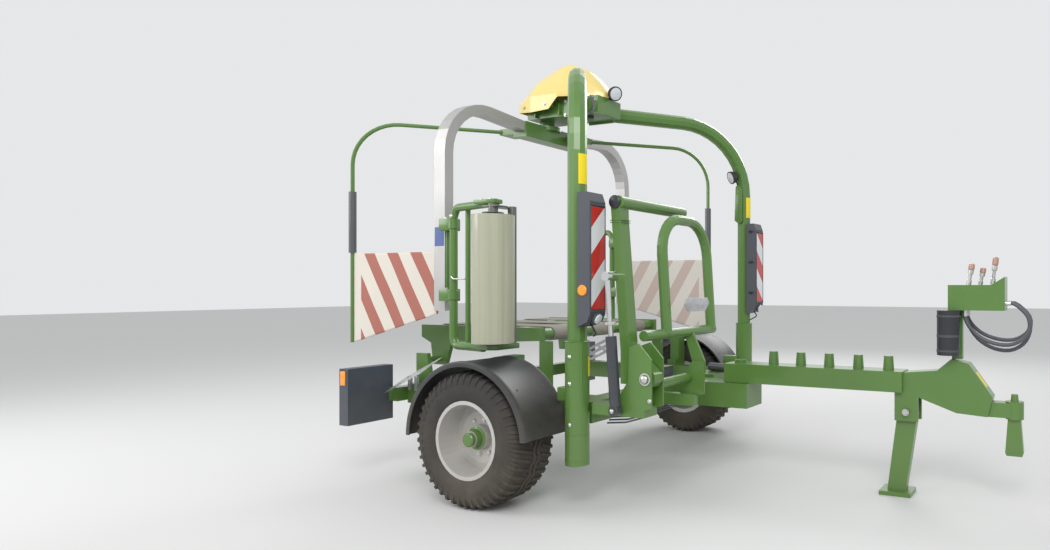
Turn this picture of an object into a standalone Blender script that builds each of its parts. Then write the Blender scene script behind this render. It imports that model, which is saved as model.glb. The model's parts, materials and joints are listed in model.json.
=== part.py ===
"""Trailed round-bale wrapper with twin satellite arms, standing on its wheels and its jack.

Metres, +Z up, +X towards the drawbar, +Y to the machine's left. Sizes are first written from the
axle (X = 0 on the axle line), and the finished objects are then shifted along X so that the
origin lies at the middle of the whole length, on the ground.
"""
import math

import bmesh
import bpy
from mathutils import Matrix, Vector

# ---------------------------------------------------------------- driving dimensions
GAP = 0.0003                # seat between touching pieces
BORE_PLAY = 0.0005          # a bore's radius over its pin's

WHEEL_RADIUS = 0.39
TRACK_HALF = 1.215          # axle middle to wheel middle
RIM_SEAT_RADIUS = 0.21
FENDER_RADIUS = 0.447
FENDER_OUTER = 1.385        # outer edge of the fender, from the middle of the machine
FENDER_INNER = 1.03
FENDER_SKIN = 0.008
FENDER_LIP = 0.032

RAIL_INNER = 0.80
RAIL_OUTER = 0.90
RAIL_BOTTOM = 0.47
RAIL_TOP = 0.60
FRAME_REAR = -1.00
CROSSBEAM_REAR = 0.52
CROSSBEAM_FRONT = 0.62

LEG_X = 0.57
LEG_Y = 1.10
LEG_RADIUS = 0.0535
SLEEVE_RADIUS = 0.0675
SLEEVE_BOTTOM = 0.26
SLEEVE_TOP = 0.95
PORTAL_HEIGHT = 2.56        # axis of the level stretch of the portal tubes
PORTAL_BEND = 0.55

ROTOR_X = -0.57             # the satellite rotor turns about a vertical axis here
HUB_HALF_WIDTH = 0.14
HUB_BOTTOM = 2.50
HUB_TOP = 2.62
HOOD_TOP = 2.90
HOOD_WALL = 0.006
HOOD_POST_X = -0.30
HOOD_POST_RADIUS = 0.02
HOOD_SLOPE = 0.43           # fall of the roof ahead of the post
PORTAL_HUB_X = -0.18
ROTOR_BEAM_HALF = 0.30
ROTOR_BEAM_WIDTH = 0.12
ROTOR_BEAM_BOTTOM = 2.34
ROTOR_BEAM_TOP = 2.46

ARM_REACH = 0.99            # rotor axis to the middle of an arm's upright stretch
ARM_WIDTH = 0.093
ARM_DEPTH = 0.068
ARM_INNER_HEIGHT = 2.415
ARM_CORNER_HEIGHT = 2.47
ARM_FOOT = 1.10
ARM_BEND = 0.33

BOW_RADIUS = 0.0135
BOW_TIP = (-0.860, -0.987)  # upright end of a safety bow, from the rotor axis
BOW_ANGLE = math.radians(46)
BOW_HEIGHT = 2.39
BOW_BEND = 0.30
BOW_CLAMP_HALF = 0.022
GRIP_RADIUS = 0.025
GRIP_TOP = 1.905
GRIP_BOTTOM = 1.486
FLAG_THICKNESS = 0.006
FLAG_TOP = 1.48
FLAG_INNER_DROP = 0.40
FLAG_OUTER_DROP = 0.61

POST_X = 0.15               # dispenser post, from the rotor axis
POST_Y = -1.05
POST_RADIUS = 0.0275
POST_CLAMPS = (1.20, 1.64)  # heights of the clamps that hold the post to the arm
ROLL_X = 0.565              # film roll axis, from the rotor axis
ROLL_Y = -1.145
ROLL_RADIUS = 0.121
ROLL_BOTTOM = 0.922
ROLL_LENGTH = 0.75
STRETCH_X = 0.56            # stretch roller axis, on the bale's side of the roll
STRETCH_Y = -0.983
DISPENSER_BAR = 0.05

TABLE_PIVOT_X = -0.95
TABLE_PIVOT_Z = 0.75
TABLE_PIN_RADIUS = 0.020
TABLE_PLATE_INNER = 0.66
TABLE_PLATE_OUTER = 0.69
ROLLER_REAR_X = -1.05
ROLLER_FRONT_X = -0.09
ROLLER_Z = 0.94
ROLLER_RADIUS = 0.040
BELT_THICKNESS = 0.005
BELT_WIDTH = 0.25
BELT_PITCH = 0.42
BELT_COUNT = 3

FORK_PIVOT_X = 1.009
FORK_PIVOT_Z = 0.755
FORK_PIN_RADIUS = 0.025
CHEEK_Y = (-1.085, -0.967)
CHEEK_THICKNESS = 0.012
FORK_ARM_Y = (-1.06, -0.98)
FORK_ARM_DEPTH = 0.06
FORK_ARM_FOOT = (0.862, 0.90)
FORK_ARM_TOP = (0.797, 1.70)
FINGER_RADIUS = 0.035
FINGER_HEIGHT = 1.72
FINGER_END = -0.36
FORK_BAR_X = 0.93
FORK_BAR_Z = 0.978
FORK_BAR_RADIUS = 0.03
BOW_LEG_Y = (-0.75, -0.20)
FORK_BOW_RADIUS = 0.0325
FORK_BOW_TOP = 1.66
FORK_BOW_TOP_X = 0.895
INNER_LUG_Y = -0.50
LIFT_FOOT = (0.848, 0.585)
LIFT_HEAD = (0.794, 1.309)
LIFT_Y = -1.13
LIFT_BARREL = 0.030
LIFT_PIN_RADIUS = 0.012
LIFT_ROD = 0.015

NOSE_FRONT = 1.16
NOSE_HALF = 0.12
NOSE_BOTTOM = 0.46
NOSE_TOP = 0.62
DRAWBAR_PIVOT_X = 1.06
DRAWBAR_PIN_RADIUS = 0.04
DRAWBAR_BOTTOM = 0.6215
DRAWBAR_TOP = 0.745
DRAWBAR_HALF = 0.09
DRAWBAR_REAR = 0.98
SWING_STROKE = 0.14
SWING_ROD_RADIUS = 0.014
LUG_BOTTOM = 0.695          # plate on the drawbar's left side that the swing cylinder pushes
HEAD_HALF = 0.06
HITCH_X = 2.785
HITCH_RADIUS = 0.05
JACK_PIVOT = (2.18, 0.50)
JACK_PIN_RADIUS = 0.015
JACK_FOOT_X = 2.115
RACK_BOTTOM = 1.116
RACK_HALF = 0.08
RACK_POST_HALF = 0.02
CANISTER_X = 2.43
CANISTER_RADIUS = 0.065
HOSE_RADIUS = 0.011
PEG_COUNT = 5

REAR_MOST = ROTOR_X + BOW_TIP[0] - GRIP_RADIUS
FRONT_MOST = HITCH_X + HITCH_RADIUS
ORIGIN_X = (REAR_MOST + FRONT_MOST) / 2

# ---------------------------------------------------------------- scene, materials
for old in list(bpy.data.objects):
    bpy.data.objects.remove(old)

machine = bpy.data.collections.new("bale_wrapper")
bpy.context.scene.collection.children.link(machine)

# name: (red, green, blue, roughness, metallic)
FINISHES = {
    "green_paint": (0.10, 0.27, 0.05, 0.38, 0.0),
    "yellow_hood": (0.80, 0.68, 0.30, 0.40, 0.0),
    "bare_aluminium": (0.72, 0.73, 0.75, 0.40, 0.9),
    "black_plastic": (0.03, 0.03, 0.035, 0.45, 0.0),
    "black_paint": (0.03, 0.03, 0.035, 0.35, 0.0),
    "grey_plastic": (0.09, 0.10, 0.12, 0.50, 0.0),
    "tyre_rubber": (0.025, 0.025, 0.028, 0.80, 0.0),
    "silver_rim": (0.60, 0.61, 0.62, 0.35, 0.5),
    "film": (0.55, 0.58, 0.47, 0.30, 0.0),
    "flag_cloth": (0.70, 0.55, 0.50, 0.85, 0.0),
    "belt": (0.40, 0.37, 0.31, 0.80, 0.0),
    "hose_rubber": (0.06, 0.06, 0.07, 0.55, 0.0),
    "steel": (0.55, 0.55, 0.56, 0.30, 1.0),
}


def material(name):
    """Principled material of one of the finishes above."""
    found = bpy.data.materials.get(name)
    if found:
        return found
    red, green, blue, roughness, metallic = FINISHES[name]
    made = bpy.data.materials.new(name)
    made.use_nodes = True
    shader = made.node_tree.nodes["Principled BSDF"]
    shader.inputs["Base Color"].default_value = (red, green, blue, 1.0)
    shader.inputs["Roughness"].default_value = roughness
    shader.inputs["Metallic"].default_value = metallic
    return made


# ---------------------------------------------------------------- shape helpers
def from_bmesh(name, bm):
    """Object in the machine's collection from a bmesh, normals outward."""
    bmesh.ops.recalc_face_normals(bm, faces=bm.faces)
    mesh = bpy.data.meshes.new(name)
    bm.to_mesh(mesh)
    bm.free()
    obj = bpy.data.objects.new(name, mesh)
    machine.objects.link(obj)
    return obj


def box(name, low, high):
    """Block between two corners."""
    bm = bmesh.new()
    size = Vector(high) - Vector(low)
    middle = (Vector(high) + Vector(low)) / 2
    bmesh.ops.create_cube(bm, size=1.0, matrix=Matrix.Translation(middle) @ Matrix.Diagonal((*size, 1.0)))
    return from_bmesh(name, bm)


def rod(name, start, end, radius, end_radius=None, sides=20):
    """Round bar or cone between two points."""
    start = Vector(start)
    along = Vector(end) - start
    turn = along.to_track_quat("Z", "Y").to_matrix().to_4x4()
    place = Matrix.Translation(start + along / 2) @ turn
    bm = bmesh.new()
    bmesh.ops.create_cone(bm, cap_ends=True, segments=sides, radius1=radius,
                          radius2=radius if end_radius is None else end_radius,
                          depth=along.length, matrix=place)
    return from_bmesh(name, bm)


def plate(name, outline, low, high, plane="XZ"):
    """Flat outline with thickness from low to high across its plane."""
    place = {"XZ": lambda a, b, c: (a, c, b),
             "YZ": lambda a, b, c: (c, a, b),
             "XY": lambda a, b, c: (a, b, c)}[plane]
    bm = bmesh.new()
    face = bm.faces.new([bm.verts.new(place(a, b, low)) for a, b in outline])
    grown = bmesh.ops.extrude_face_region(bm, geom=[face])
    moved = [item for item in grown["geom"] if isinstance(item, bmesh.types.BMVert)]
    bmesh.ops.translate(bm, verts=moved, vec=Vector(place(0, 0, high - low)))
    return from_bmesh(name, bm)


def rounded_path(points, bend, steps=8):
    """The points of a path whose inner corners are arcs of the given radius."""
    points = [Vector(point) for point in points]
    path = [points[0]]
    for before, corner, after in zip(points, points[1:], points[2:]):
        back = (before - corner).normalized()
        ahead = (after - corner).normalized()
        half = back.angle(ahead) / 2
        reach = bend / math.tan(half)
        centre = corner + (back + ahead).normalized() * (bend / math.sin(half))
        first = corner + back * reach - centre
        last = corner + ahead * reach - centre
        for step in range(steps + 1):
            path.append(centre + first.slerp(last, step / steps).normalized() * bend)
    path.append(points[-1])
    return path


def pipe(name, points, radius, resolution=3):
    """Round tube along the points, as a closed mesh."""
    curve = bpy.data.curves.new(name, "CURVE")
    curve.dimensions = "3D"
    curve.bevel_depth = radius
    curve.bevel_resolution = resolution
    curve.use_fill_caps = True
    spline = curve.splines.new("POLY")
    spline.points.add(len(points) - 1)
    for spot, point in zip(spline.points, points):
        spot.co = (*point, 1.0)
    guide = bpy.data.objects.new(name + "_guide", curve)
    machine.objects.link(guide)
    mesh = bpy.data.meshes.new_from_object(guide.evaluated_get(bpy.context.evaluated_depsgraph_get()))
    bpy.data.objects.remove(guide)
    bm = bmesh.new()
    bm.from_mesh(mesh)
    bpy.data.meshes.remove(mesh)
    bmesh.ops.remove_doubles(bm, verts=bm.verts, dist=1e-5)
    return from_bmesh(name, bm)


def turned(name, profile, centre, outward, sides=36):
    """Solid turned about the Y axis through centre; the profile holds (radius, offset) pairs."""
    bm = bmesh.new()
    corners = [bm.verts.new((radius, offset * outward, 0)) for radius, offset in profile]
    edges = [bm.edges.new(pair) for pair in zip(corners, corners[1:] + corners[:1])]
    bmesh.ops.spin(bm, geom=corners + edges, cent=(0, 0, 0), axis=(0, 1, 0),
                   angle=2 * math.pi, steps=sides, use_merge=True)
    bmesh.ops.remove_doubles(bm, verts=bm.verts, dist=1e-5)
    bmesh.ops.delete(bm, geom=[edge for edge in bm.edges if not edge.link_faces], context="EDGES")
    bmesh.ops.delete(bm, geom=[vert for vert in bm.verts if not vert.link_faces], context="VERTS")
    bmesh.ops.translate(bm, verts=bm.verts, vec=Vector(centre))
    return from_bmesh(name, bm)


def combine(first, others, operation="UNION"):
    """Apply a Boolean of the first object with each of the others, which are then removed."""
    for other in others:
        change = first.modifiers.new("combine", "BOOLEAN")
        change.operation = operation
        change.object = other
        bpy.context.view_layer.update()
        mesh = bpy.data.meshes.new_from_object(
            first.evaluated_get(bpy.context.evaluated_depsgraph_get()))
        first.modifiers.clear()
        first.data = mesh
        bpy.data.objects.remove(other)
    bm = bmesh.new()
    bm.from_mesh(first.data)
    bmesh.ops.remove_doubles(bm, verts=bm.verts, dist=1e-6)
    bm.to_mesh(first.data)
    bm.free()
    return first


def finish(obj, finish_name, pivot=(0, 0, 0)):
    """Give the finish, smooth the round faces and put the origin on the pivot."""
    obj.data.name = obj.name
    obj.data.materials.clear()
    obj.data.materials.append(material(finish_name))
    obj.data.shade_smooth()
    obj.data.set_sharp_from_angle(angle=math.radians(35))
    obj.data.transform(Matrix.Translation(-Vector(pivot)))
    obj.location = pivot
    return obj


SIDES = (("right", -1), ("left", 1))

# ---------------------------------------------------------------- wheels
# (radius, offset from the wheel's middle plane, + is towards the machine's outside)
HALF_TYRE = ((RIM_SEAT_RADIUS, 0.130), (0.262, 0.158), (0.325, 0.165), (0.372, 0.150), (0.388, 0.118))
TYRE_PROFILE = [*HALF_TYRE, (WHEEL_RADIUS, 0.0), *[(radius, -offset) for radius, offset in HALF_TYRE[::-1]]]
RIM_PROFILE = [(0.0, -0.050), (0.070, -0.050), (0.070, 0.004), (0.150, 0.004), (0.188, -0.008),
               (0.194, -0.150), (0.2235, -0.150), (0.2235, -0.139), (RIM_SEAT_RADIUS - GAP, -0.1305),
               (RIM_SEAT_RADIUS - GAP, 0.1305), (0.2235, 0.139), (0.2235, 0.150), (0.202, 0.150),
               (0.197, 0.012), (0.150, 0.020), (0.075, 0.020), (0.070, 0.060), (0.048, 0.066),
               (0.045, 0.105), (0.0, 0.105)]

for side, sign in SIDES:
    middle = (0, sign * TRACK_HALF, WHEEL_RADIUS)
    finish(turned("tyre_" + side, TYRE_PROFILE, middle, sign), "tyre_rubber", middle)
    finish(turned("rim_" + side, RIM_PROFILE, middle, sign), "silver_rim", middle)

# ---------------------------------------------------------------- chassis
for side, sign in SIDES:
    def across(inner, outer):
        """Y range between two distances from the middle, lowest first."""
        return sorted((sign * inner, sign * outer))

    y_low, y_high = across(RAIL_INNER, RAIL_OUTER)
    rail = box("frame_rail_" + side, (FRAME_REAR, y_low, RAIL_BOTTOM),
               (CROSSBEAM_REAR - GAP, y_high, RAIL_TOP))
    ear_low, ear_high = across(RAIL_INNER, RAIL_INNER + 0.03)
    ear = plate("ear", [(-1.00, 0.58), (-0.86, 0.58), (-0.90, 0.80), (-1.00, 0.80)], ear_low, ear_high)
    pin = rod("pin", (TABLE_PIVOT_X, sign * (RAIL_INNER + 0.02), TABLE_PIVOT_Z),
              (TABLE_PIVOT_X, sign * (TABLE_PLATE_INNER - 0.01), TABLE_PIVOT_Z), TABLE_PIN_RADIUS)
    stay_low, stay_high = across(RAIL_OUTER - 0.02, FENDER_INNER - GAP)
    crown = WHEEL_RADIUS + FENDER_RADIUS
    stay = box("stay", (-0.04, stay_low, RAIL_TOP - 0.02), (0.04, stay_high, crown))
    notch_low, notch_high = across(0.70, 0.93)
    stay_notch = box("notch", (-0.1, notch_low, RAIL_TOP + 0.04), (0.1, notch_high, crown + 0.1))
    combine(stay, [stay_notch], "DIFFERENCE")
    finish(combine(rail, [ear, pin, stay]), "green_paint")

    profile = ((FENDER_RADIUS, FENDER_OUTER), (FENDER_RADIUS, FENDER_INNER),
               (FENDER_RADIUS - FENDER_SKIN, FENDER_INNER),
               (FENDER_RADIUS - FENDER_SKIN, FENDER_OUTER - FENDER_SKIN),
               (FENDER_RADIUS - FENDER_LIP, FENDER_OUTER - FENDER_SKIN),
               (FENDER_RADIUS - FENDER_LIP, FENDER_OUTER))
    bm = bmesh.new()
    face = bm.faces.new([bm.verts.new((-radius, sign * offset, WHEEL_RADIUS)) for radius, offset in profile])
    bmesh.ops.spin(bm, geom=[face, *face.verts, *face.edges], cent=(0, 0, WHEEL_RADIUS), axis=(0, 1, 0),
                   angle=math.radians(176), steps=22)
    finish(from_bmesh("fender_" + side, bm), "black_plastic")

    leg_low = (LEG_X, sign * LEG_Y, SLEEVE_TOP - 0.1)
    corner = (LEG_X, sign * LEG_Y, PORTAL_HEIGHT)
    inner_end = (PORTAL_HUB_X, sign * HUB_HALF_WIDTH, PORTAL_HEIGHT)
    beyond = Vector(inner_end) + (Vector(inner_end) - Vector(corner)).normalized() * 0.05
    leg = pipe("portal_leg_" + side, rounded_path([leg_low, corner, beyond], PORTAL_BEND, 10), LEG_RADIUS)
    sleeve = rod("sleeve", (LEG_X, sign * LEG_Y, SLEEVE_BOTTOM), (LEG_X, sign * LEG_Y, SLEEVE_TOP),
                 SLEEVE_RADIUS, sides=24)
    flange_low, flange_high = across(HUB_HALF_WIDTH - 0.01, HUB_HALF_WIDTH + 0.015)
    flange = box("flange", (PORTAL_HUB_X - 0.11, flange_low, PORTAL_HEIGHT - 0.075),
                 (PORTAL_HUB_X + 0.11, flange_high, PORTAL_HEIGHT + 0.055))
    trim_low, trim_high = across(-0.3, HUB_HALF_WIDTH + GAP)
    trim = box("trim", (-0.6, trim_low, 2.3), (0.3, trim_high, 2.9))
    combine(leg, [sleeve, flange])
    finish(combine(leg, [trim], "DIFFERENCE"), "green_paint")

    panel_low, panel_high = across(1.031, 1.172)
    panel_back = LEG_X + LEG_RADIUS + GAP
    panel = plate("warning_panel_" + side,
                  [(panel_back, 1.03), (0.690, 1.06), (0.710, 1.10), (0.710, 1.72), (0.690, 1.77),
                   (panel_back, 1.77)], panel_low, panel_high)
    finish(panel, "grey_plastic")

    carrier_low, carrier_high = across(0.95, 1.28)
    carrier = box("lamp_carrier_" + side, (-1.16, carrier_low, 0.37), (-1.08 - GAP, carrier_high, 0.73))
    finish(carrier, "grey_plastic")

front = box("front_crossbeam", (CROSSBEAM_REAR, -LEG_Y + SLEEVE_RADIUS + GAP, 0.48),
            (CROSSBEAM_FRONT, LEG_Y - SLEEVE_RADIUS - GAP, RAIL_TOP))
finish(front, "green_paint")

rear = box("rear_crossbeam", (-1.08, -0.98, 0.49), (FRAME_REAR - GAP, 0.98, 0.58))
finish(rear, "green_paint")

axle = box("axle_beam", (-0.05, -RAIL_OUTER, 0.34), (0.05, RAIL_OUTER, RAIL_BOTTOM - GAP))
hub_inner = TRACK_HALF - 0.050 - GAP
stub = rod("stub", (0, -hub_inner, WHEEL_RADIUS), (0, hub_inner, WHEEL_RADIUS), 0.040)
posts = [box("post", (-0.05, y - 0.02, 0.42), (0.03, y + 0.02, 0.90 - GAP)) for y in (-0.675, 0.675)]
finish(combine(axle, [stub, *posts]), "green_paint")

nose = box("frame_nose", (CROSSBEAM_FRONT + GAP, -NOSE_HALF, NOSE_BOTTOM), (NOSE_FRONT, NOSE_HALF, NOSE_TOP))
nose_pin = rod("pin", (DRAWBAR_PIVOT_X, 0, NOSE_TOP - 0.05), (DRAWBAR_PIVOT_X, 0, DRAWBAR_TOP + 0.02),
               DRAWBAR_PIN_RADIUS, sides=24)
seat = box("seat", (CROSSBEAM_FRONT + GAP, NOSE_HALF - 0.01, 0.56), (0.80, 0.34, 0.64))
finish(combine(nose, [nose_pin, seat]), "green_paint")

# ---------------------------------------------------------------- fork bracket on the chassis
CHEEK = [(0.905, 0.925), (0.965, 0.945), (1.045, 0.860), (1.045, 0.600), (0.870, 0.541), (0.809, 0.560),
         (0.809, 0.610), (0.897, 0.740)]
bracket = plate("fork_bracket", CHEEK, CHEEK_Y[0], CHEEK_Y[0] + CHEEK_THICKNESS)
second = plate("cheek", CHEEK, CHEEK_Y[1], CHEEK_Y[1] + CHEEK_THICKNESS)
base_inner = CHEEK_Y[1] + CHEEK_THICKNESS
base_outline = [(CROSSBEAM_FRONT + GAP, -1.02), (0.66, CHEEK_Y[0]), (1.0, CHEEK_Y[0]), (1.0, base_inner),
                (CROSSBEAM_FRONT + GAP, base_inner)]
base = plate("base", base_outline, 0.545, 0.60, plane="XY")
pivot_pin = rod("pin", (FORK_PIVOT_X, LIFT_Y + LIFT_BARREL + 0.003, FORK_PIVOT_Z),
                (FORK_PIVOT_X, CHEEK_Y[1] + 0.03, FORK_PIVOT_Z), FORK_PIN_RADIUS)
lift_pin = rod("lift_pin", (LIFT_FOOT[0], CHEEK_Y[0] + 0.005, LIFT_FOOT[1]),
               (LIFT_FOOT[0], LIFT_Y - 0.035, LIFT_FOOT[1]), LIFT_PIN_RADIUS, sides=16)
tie = rod("tie", (0.945, CHEEK_Y[1] + 0.005, 0.70), (0.945, INNER_LUG_Y + 0.006, 0.70), 0.028)
LUG_OUTLINE = [(0.88, 0.56), (1.05, 0.60), (1.05, 0.80), (0.97, 0.80), (0.90, 0.70)]
lug = plate("lug", LUG_OUTLINE, INNER_LUG_Y, INNER_LUG_Y + CHEEK_THICKNESS)
outrigger = box("outrigger", (CROSSBEAM_FRONT + GAP, INNER_LUG_Y - 0.04, 0.53),
                (1.0, INNER_LUG_Y + CHEEK_THICKNESS, 0.60))
inner_pin = rod("inner_pin", (FORK_PIVOT_X, INNER_LUG_Y, FORK_PIVOT_Z),
                (FORK_PIVOT_X, INNER_LUG_Y + 0.05, FORK_PIVOT_Z), FORK_PIN_RADIUS)
finish(combine(bracket, [second, base, pivot_pin, lift_pin, tie, lug, outrigger, inner_pin]), "green_paint")

valves = box("valve_block", (0.40, -0.40, RAIL_TOP + GAP), (CROSSBEAM_FRONT, -0.14, 0.72))
valves_cut = box("cut", (0.3, -0.5, 0.5), (CROSSBEAM_REAR, 0, 0.65))
finish(combine(valves, [valves_cut], "DIFFERENCE"), "black_paint")

# ---------------------------------------------------------------- drive head and hood
head = box("drive_head", (ROTOR_X - 0.07, -HUB_HALF_WIDTH, HUB_BOTTOM), (0.0, HUB_HALF_WIDTH, HUB_TOP))
shaft = rod("shaft", (ROTOR_X, 0, ROTOR_BEAM_TOP + GAP), (ROTOR_X, 0, HUB_BOTTOM + 0.02), 0.055, sides=24)
motor = rod("motor", (HOOD_POST_X, 0, HUB_BOTTOM + 0.02), (HOOD_POST_X, 0, ROTOR_BEAM_TOP + 0.02), 0.045)
post_top = HOOD_TOP - HOOD_WALL - HOOD_SLOPE * HOOD_POST_RADIUS - GAP
hood_post = rod("hood_post", (HOOD_POST_X, 0, HUB_TOP - 0.01), (HOOD_POST_X, 0, post_top), HOOD_POST_RADIUS)
finish(combine(head, [shaft, motor, hood_post]), "green_paint")

# rows of the hood's shell: x, half width at the skirt, skirt z, crease z, half width of the roof, roof z
HOOD_ROWS = [(-0.70, 0.17, 2.55, 2.60, 0.12, 2.62),
             (-0.54, 0.22, 2.53, 2.65, 0.11, 2.80),
             (-0.38, 0.22, 2.54, 2.65, 0.08, 2.885),
             (HOOD_POST_X, 0.22, 2.622, 2.65, 0.07, HOOD_TOP),
             (-0.16, 0.17, 2.622, 2.645, 0.07, 2.84),
             (-0.06, 0.10, 2.622, 2.64, 0.05, 2.74),
             (0.0, 0.06, 2.622, 2.635, 0.04, 2.66)]


def hood_rings(inset):
    """One ring of points for each row of the hood, drawn in by the inset."""
    rings = []
    for index, (x, skirt_half, skirt_z, crease_z, roof_half, roof_z) in enumerate(HOOD_ROWS):
        x_in = x + inset * (1 if index == 0 else -1 if index == len(HOOD_ROWS) - 1 else 0)
        skirt = skirt_half - inset
        roof = roof_half - inset / 2
        rings.append([(x_in, -skirt, skirt_z), (x_in, -skirt, crease_z), (x_in, -roof, roof_z - inset),
                      (x_in, roof, roof_z - inset), (x_in, skirt, crease_z), (x_in, skirt, skirt_z)])
    return rings


bm = bmesh.new()
outer_rings = [[bm.verts.new(point) for point in ring] for ring in hood_rings(0.0)]
inner_rings = [[bm.verts.new(point) for point in ring] for ring in hood_rings(HOOD_WALL)]
for rings in (outer_rings, inner_rings):
    for ring, following in zip(rings, rings[1:]):
        for k in range(5):
            bm.faces.new((ring[k], ring[k + 1], following[k + 1], following[k]))
    bm.faces.new(rings[0])
    bm.faces.new(rings[-1])
for k in (0, 5):
    for i in range(len(HOOD_ROWS) - 1):
        bm.faces.new((outer_rings[i][k], outer_rings[i + 1][k], inner_rings[i + 1][k], inner_rings[i][k]))
for i in (0, -1):
    bm.faces.new((outer_rings[i][0], outer_rings[i][5], inner_rings[i][5], inner_rings[i][0]))
bmesh.ops.triangulate(bm, faces=bm.faces)
finish(from_bmesh("hood", bm), "yellow_hood")

# ---------------------------------------------------------------- satellite rotor
rotor_axis = (ROTOR_X, 0, ROTOR_BEAM_TOP)
beam = box("rotor_beam", (ROTOR_X - ROTOR_BEAM_WIDTH / 2, -ROTOR_BEAM_HALF, ROTOR_BEAM_BOTTOM),
           (ROTOR_X + ROTOR_BEAM_WIDTH / 2, ROTOR_BEAM_HALF, ROTOR_BEAM_TOP - 0.01))
beam_disc = rod("disc", (ROTOR_X, 0, ROTOR_BEAM_TOP - 0.03), (ROTOR_X, 0, ROTOR_BEAM_TOP), 0.10, sides=28)
finish(combine(beam, [beam_disc]), "green_paint", rotor_axis)


def arm_outline():
    """Side outline of an arm as (distance from the rotor axis, height) pairs."""
    middle = rounded_path([(ROTOR_BEAM_HALF + GAP, ARM_INNER_HEIGHT, 0), (ARM_REACH, ARM_CORNER_HEIGHT, 0),
                           (ARM_REACH, ARM_FOOT, 0)], ARM_BEND, 8)
    half = ARM_DEPTH / 2
    over = []
    under = []
    for index, point in enumerate(middle):
        before = middle[max(index - 1, 0)]
        after = middle[min(index + 1, len(middle) - 1)]
        along = (after - before).normalized()
        side_step = Vector((-along.y, along.x, 0)) * half
        over.append((point + side_step)[:2])
        under.append((point - side_step)[:2])
    over[0] = (ROTOR_BEAM_HALF + GAP, over[0][1])
    under[0] = (ROTOR_BEAM_HALF + GAP, under[0][1])
    return over + under[::-1]


for side, sign in SIDES:
    half_turn = Matrix.Translation((ROTOR_X, 0, 0))
    if side == "left":
        half_turn = half_turn @ Matrix.Rotation(math.pi, 4, "Z")

    def onto_rotor(obj, finish_name, pivot=rotor_axis):
        """Turn a piece that was drawn for the right-hand side to its own side of the rotor."""
        obj.data.transform(half_turn)
        return finish(obj, finish_name, pivot)

    outline = [(-reach, height) for reach, height in arm_outline()]
    arm = plate("arm_" + side, outline, -ARM_WIDTH / 2, ARM_WIDTH / 2, plane="YZ")
    onto_rotor(arm, "bare_aluminium")

    tip = Vector((*BOW_TIP, 0))
    towards = Vector((math.cos(BOW_ANGLE), math.sin(BOW_ANGLE), 0))
    start = tip + towards * 1.10 + Vector((0, 0, BOW_HEIGHT))
    corner = tip + Vector((0, 0, BOW_HEIGHT))
    end = tip + Vector((0, 0, FLAG_TOP - FLAG_OUTER_DROP))
    bow = pipe("safety_bow_" + side, rounded_path([start, corner, end], BOW_BEND, 10), BOW_RADIUS)
    grip = rod("grip", tip + Vector((0, 0, GRIP_BOTTOM)), tip + Vector((0, 0, GRIP_TOP)),
               GRIP_RADIUS, sides=16)
    clamp = box("clamp", (-0.20, -0.29, BOW_HEIGHT - BOW_CLAMP_HALF),
                (-ROTOR_BEAM_WIDTH / 2 - GAP, -0.13, BOW_HEIGHT + BOW_CLAMP_HALF))
    onto_rotor(combine(bow, [grip, clamp]), "green_paint")

    flag_back = BOW_TIP[0] + BOW_RADIUS + GAP
    flag_front = -ARM_WIDTH / 2 - GAP
    flag = plate("flag_" + side,
                 [(flag_back, FLAG_TOP), (flag_front, FLAG_TOP), (flag_front, FLAG_TOP - FLAG_INNER_DROP),
                  (flag_back + 0.18, FLAG_TOP - 0.563), (flag_back, FLAG_TOP - FLAG_OUTER_DROP)],
                 BOW_TIP[1] - FLAG_THICKNESS / 2, BOW_TIP[1] + FLAG_THICKNESS / 2)
    onto_rotor(flag, "flag_cloth")

    roll_top = ROLL_BOTTOM + ROLL_LENGTH
    floor_z = ROLL_BOTTOM - 0.009
    ceiling_z = roll_top + 0.045
    half_bar = DISPENSER_BAR / 2
    post = rod("dispenser_" + side, (POST_X, POST_Y, floor_z - half_bar),
               (POST_X, POST_Y, ceiling_z + half_bar), POST_RADIUS, sides=16)
    plan = [(POST_X - 0.02, POST_Y + 0.03), (POST_X - 0.02, POST_Y - 0.03), (ROLL_X, ROLL_Y - 0.03),
            (ROLL_X + 0.035, ROLL_Y), (STRETCH_X + 0.035, STRETCH_Y + 0.03),
            (STRETCH_X - 0.035, STRETCH_Y + 0.03)]
    lower = plate("lower", plan, floor_z - DISPENSER_BAR, floor_z, plane="XY")
    upper = plate("upper", plan, ceiling_z, ceiling_z + DISPENSER_BAR, plane="XY")
    thin_x = POST_X + 0.12
    thin = rod("thin", (thin_x, POST_Y, floor_z - 0.02), (thin_x, POST_Y, ceiling_z + 0.02), 0.016, sides=12)
    stretch = rod("stretch", (STRETCH_X, STRETCH_Y, floor_z - half_bar),
                  (STRETCH_X, STRETCH_Y, ceiling_z + half_bar), 0.026, sides=18)
    foot_disc = rod("foot_disc", (ROLL_X, ROLL_Y, floor_z - 0.01), (ROLL_X, ROLL_Y, ROLL_BOTTOM - GAP), 0.085)
    head_cone = rod("head_cone", (ROLL_X, ROLL_Y, roll_top + GAP), (ROLL_X, ROLL_Y, ceiling_z + 0.01),
                    0.045, 0.028)
    clamps = [box("clamp", (ARM_WIDTH / 2 + GAP, POST_Y - 0.025, z - 0.04), (POST_X, POST_Y + 0.06, z + 0.04))
              for z in POST_CLAMPS]
    pieces = [lower, upper, thin, stretch, foot_disc, head_cone, *clamps]
    onto_rotor(combine(post, pieces), "green_paint")

    roll = rod("film_roll_" + side, (ROLL_X, ROLL_Y, ROLL_BOTTOM), (ROLL_X, ROLL_Y, roll_top),
               ROLL_RADIUS, sides=32)
    roll_pivot = half_turn @ Vector((ROLL_X, ROLL_Y, ROLL_BOTTOM))
    onto_rotor(roll, "film", tuple(roll_pivot))

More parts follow.
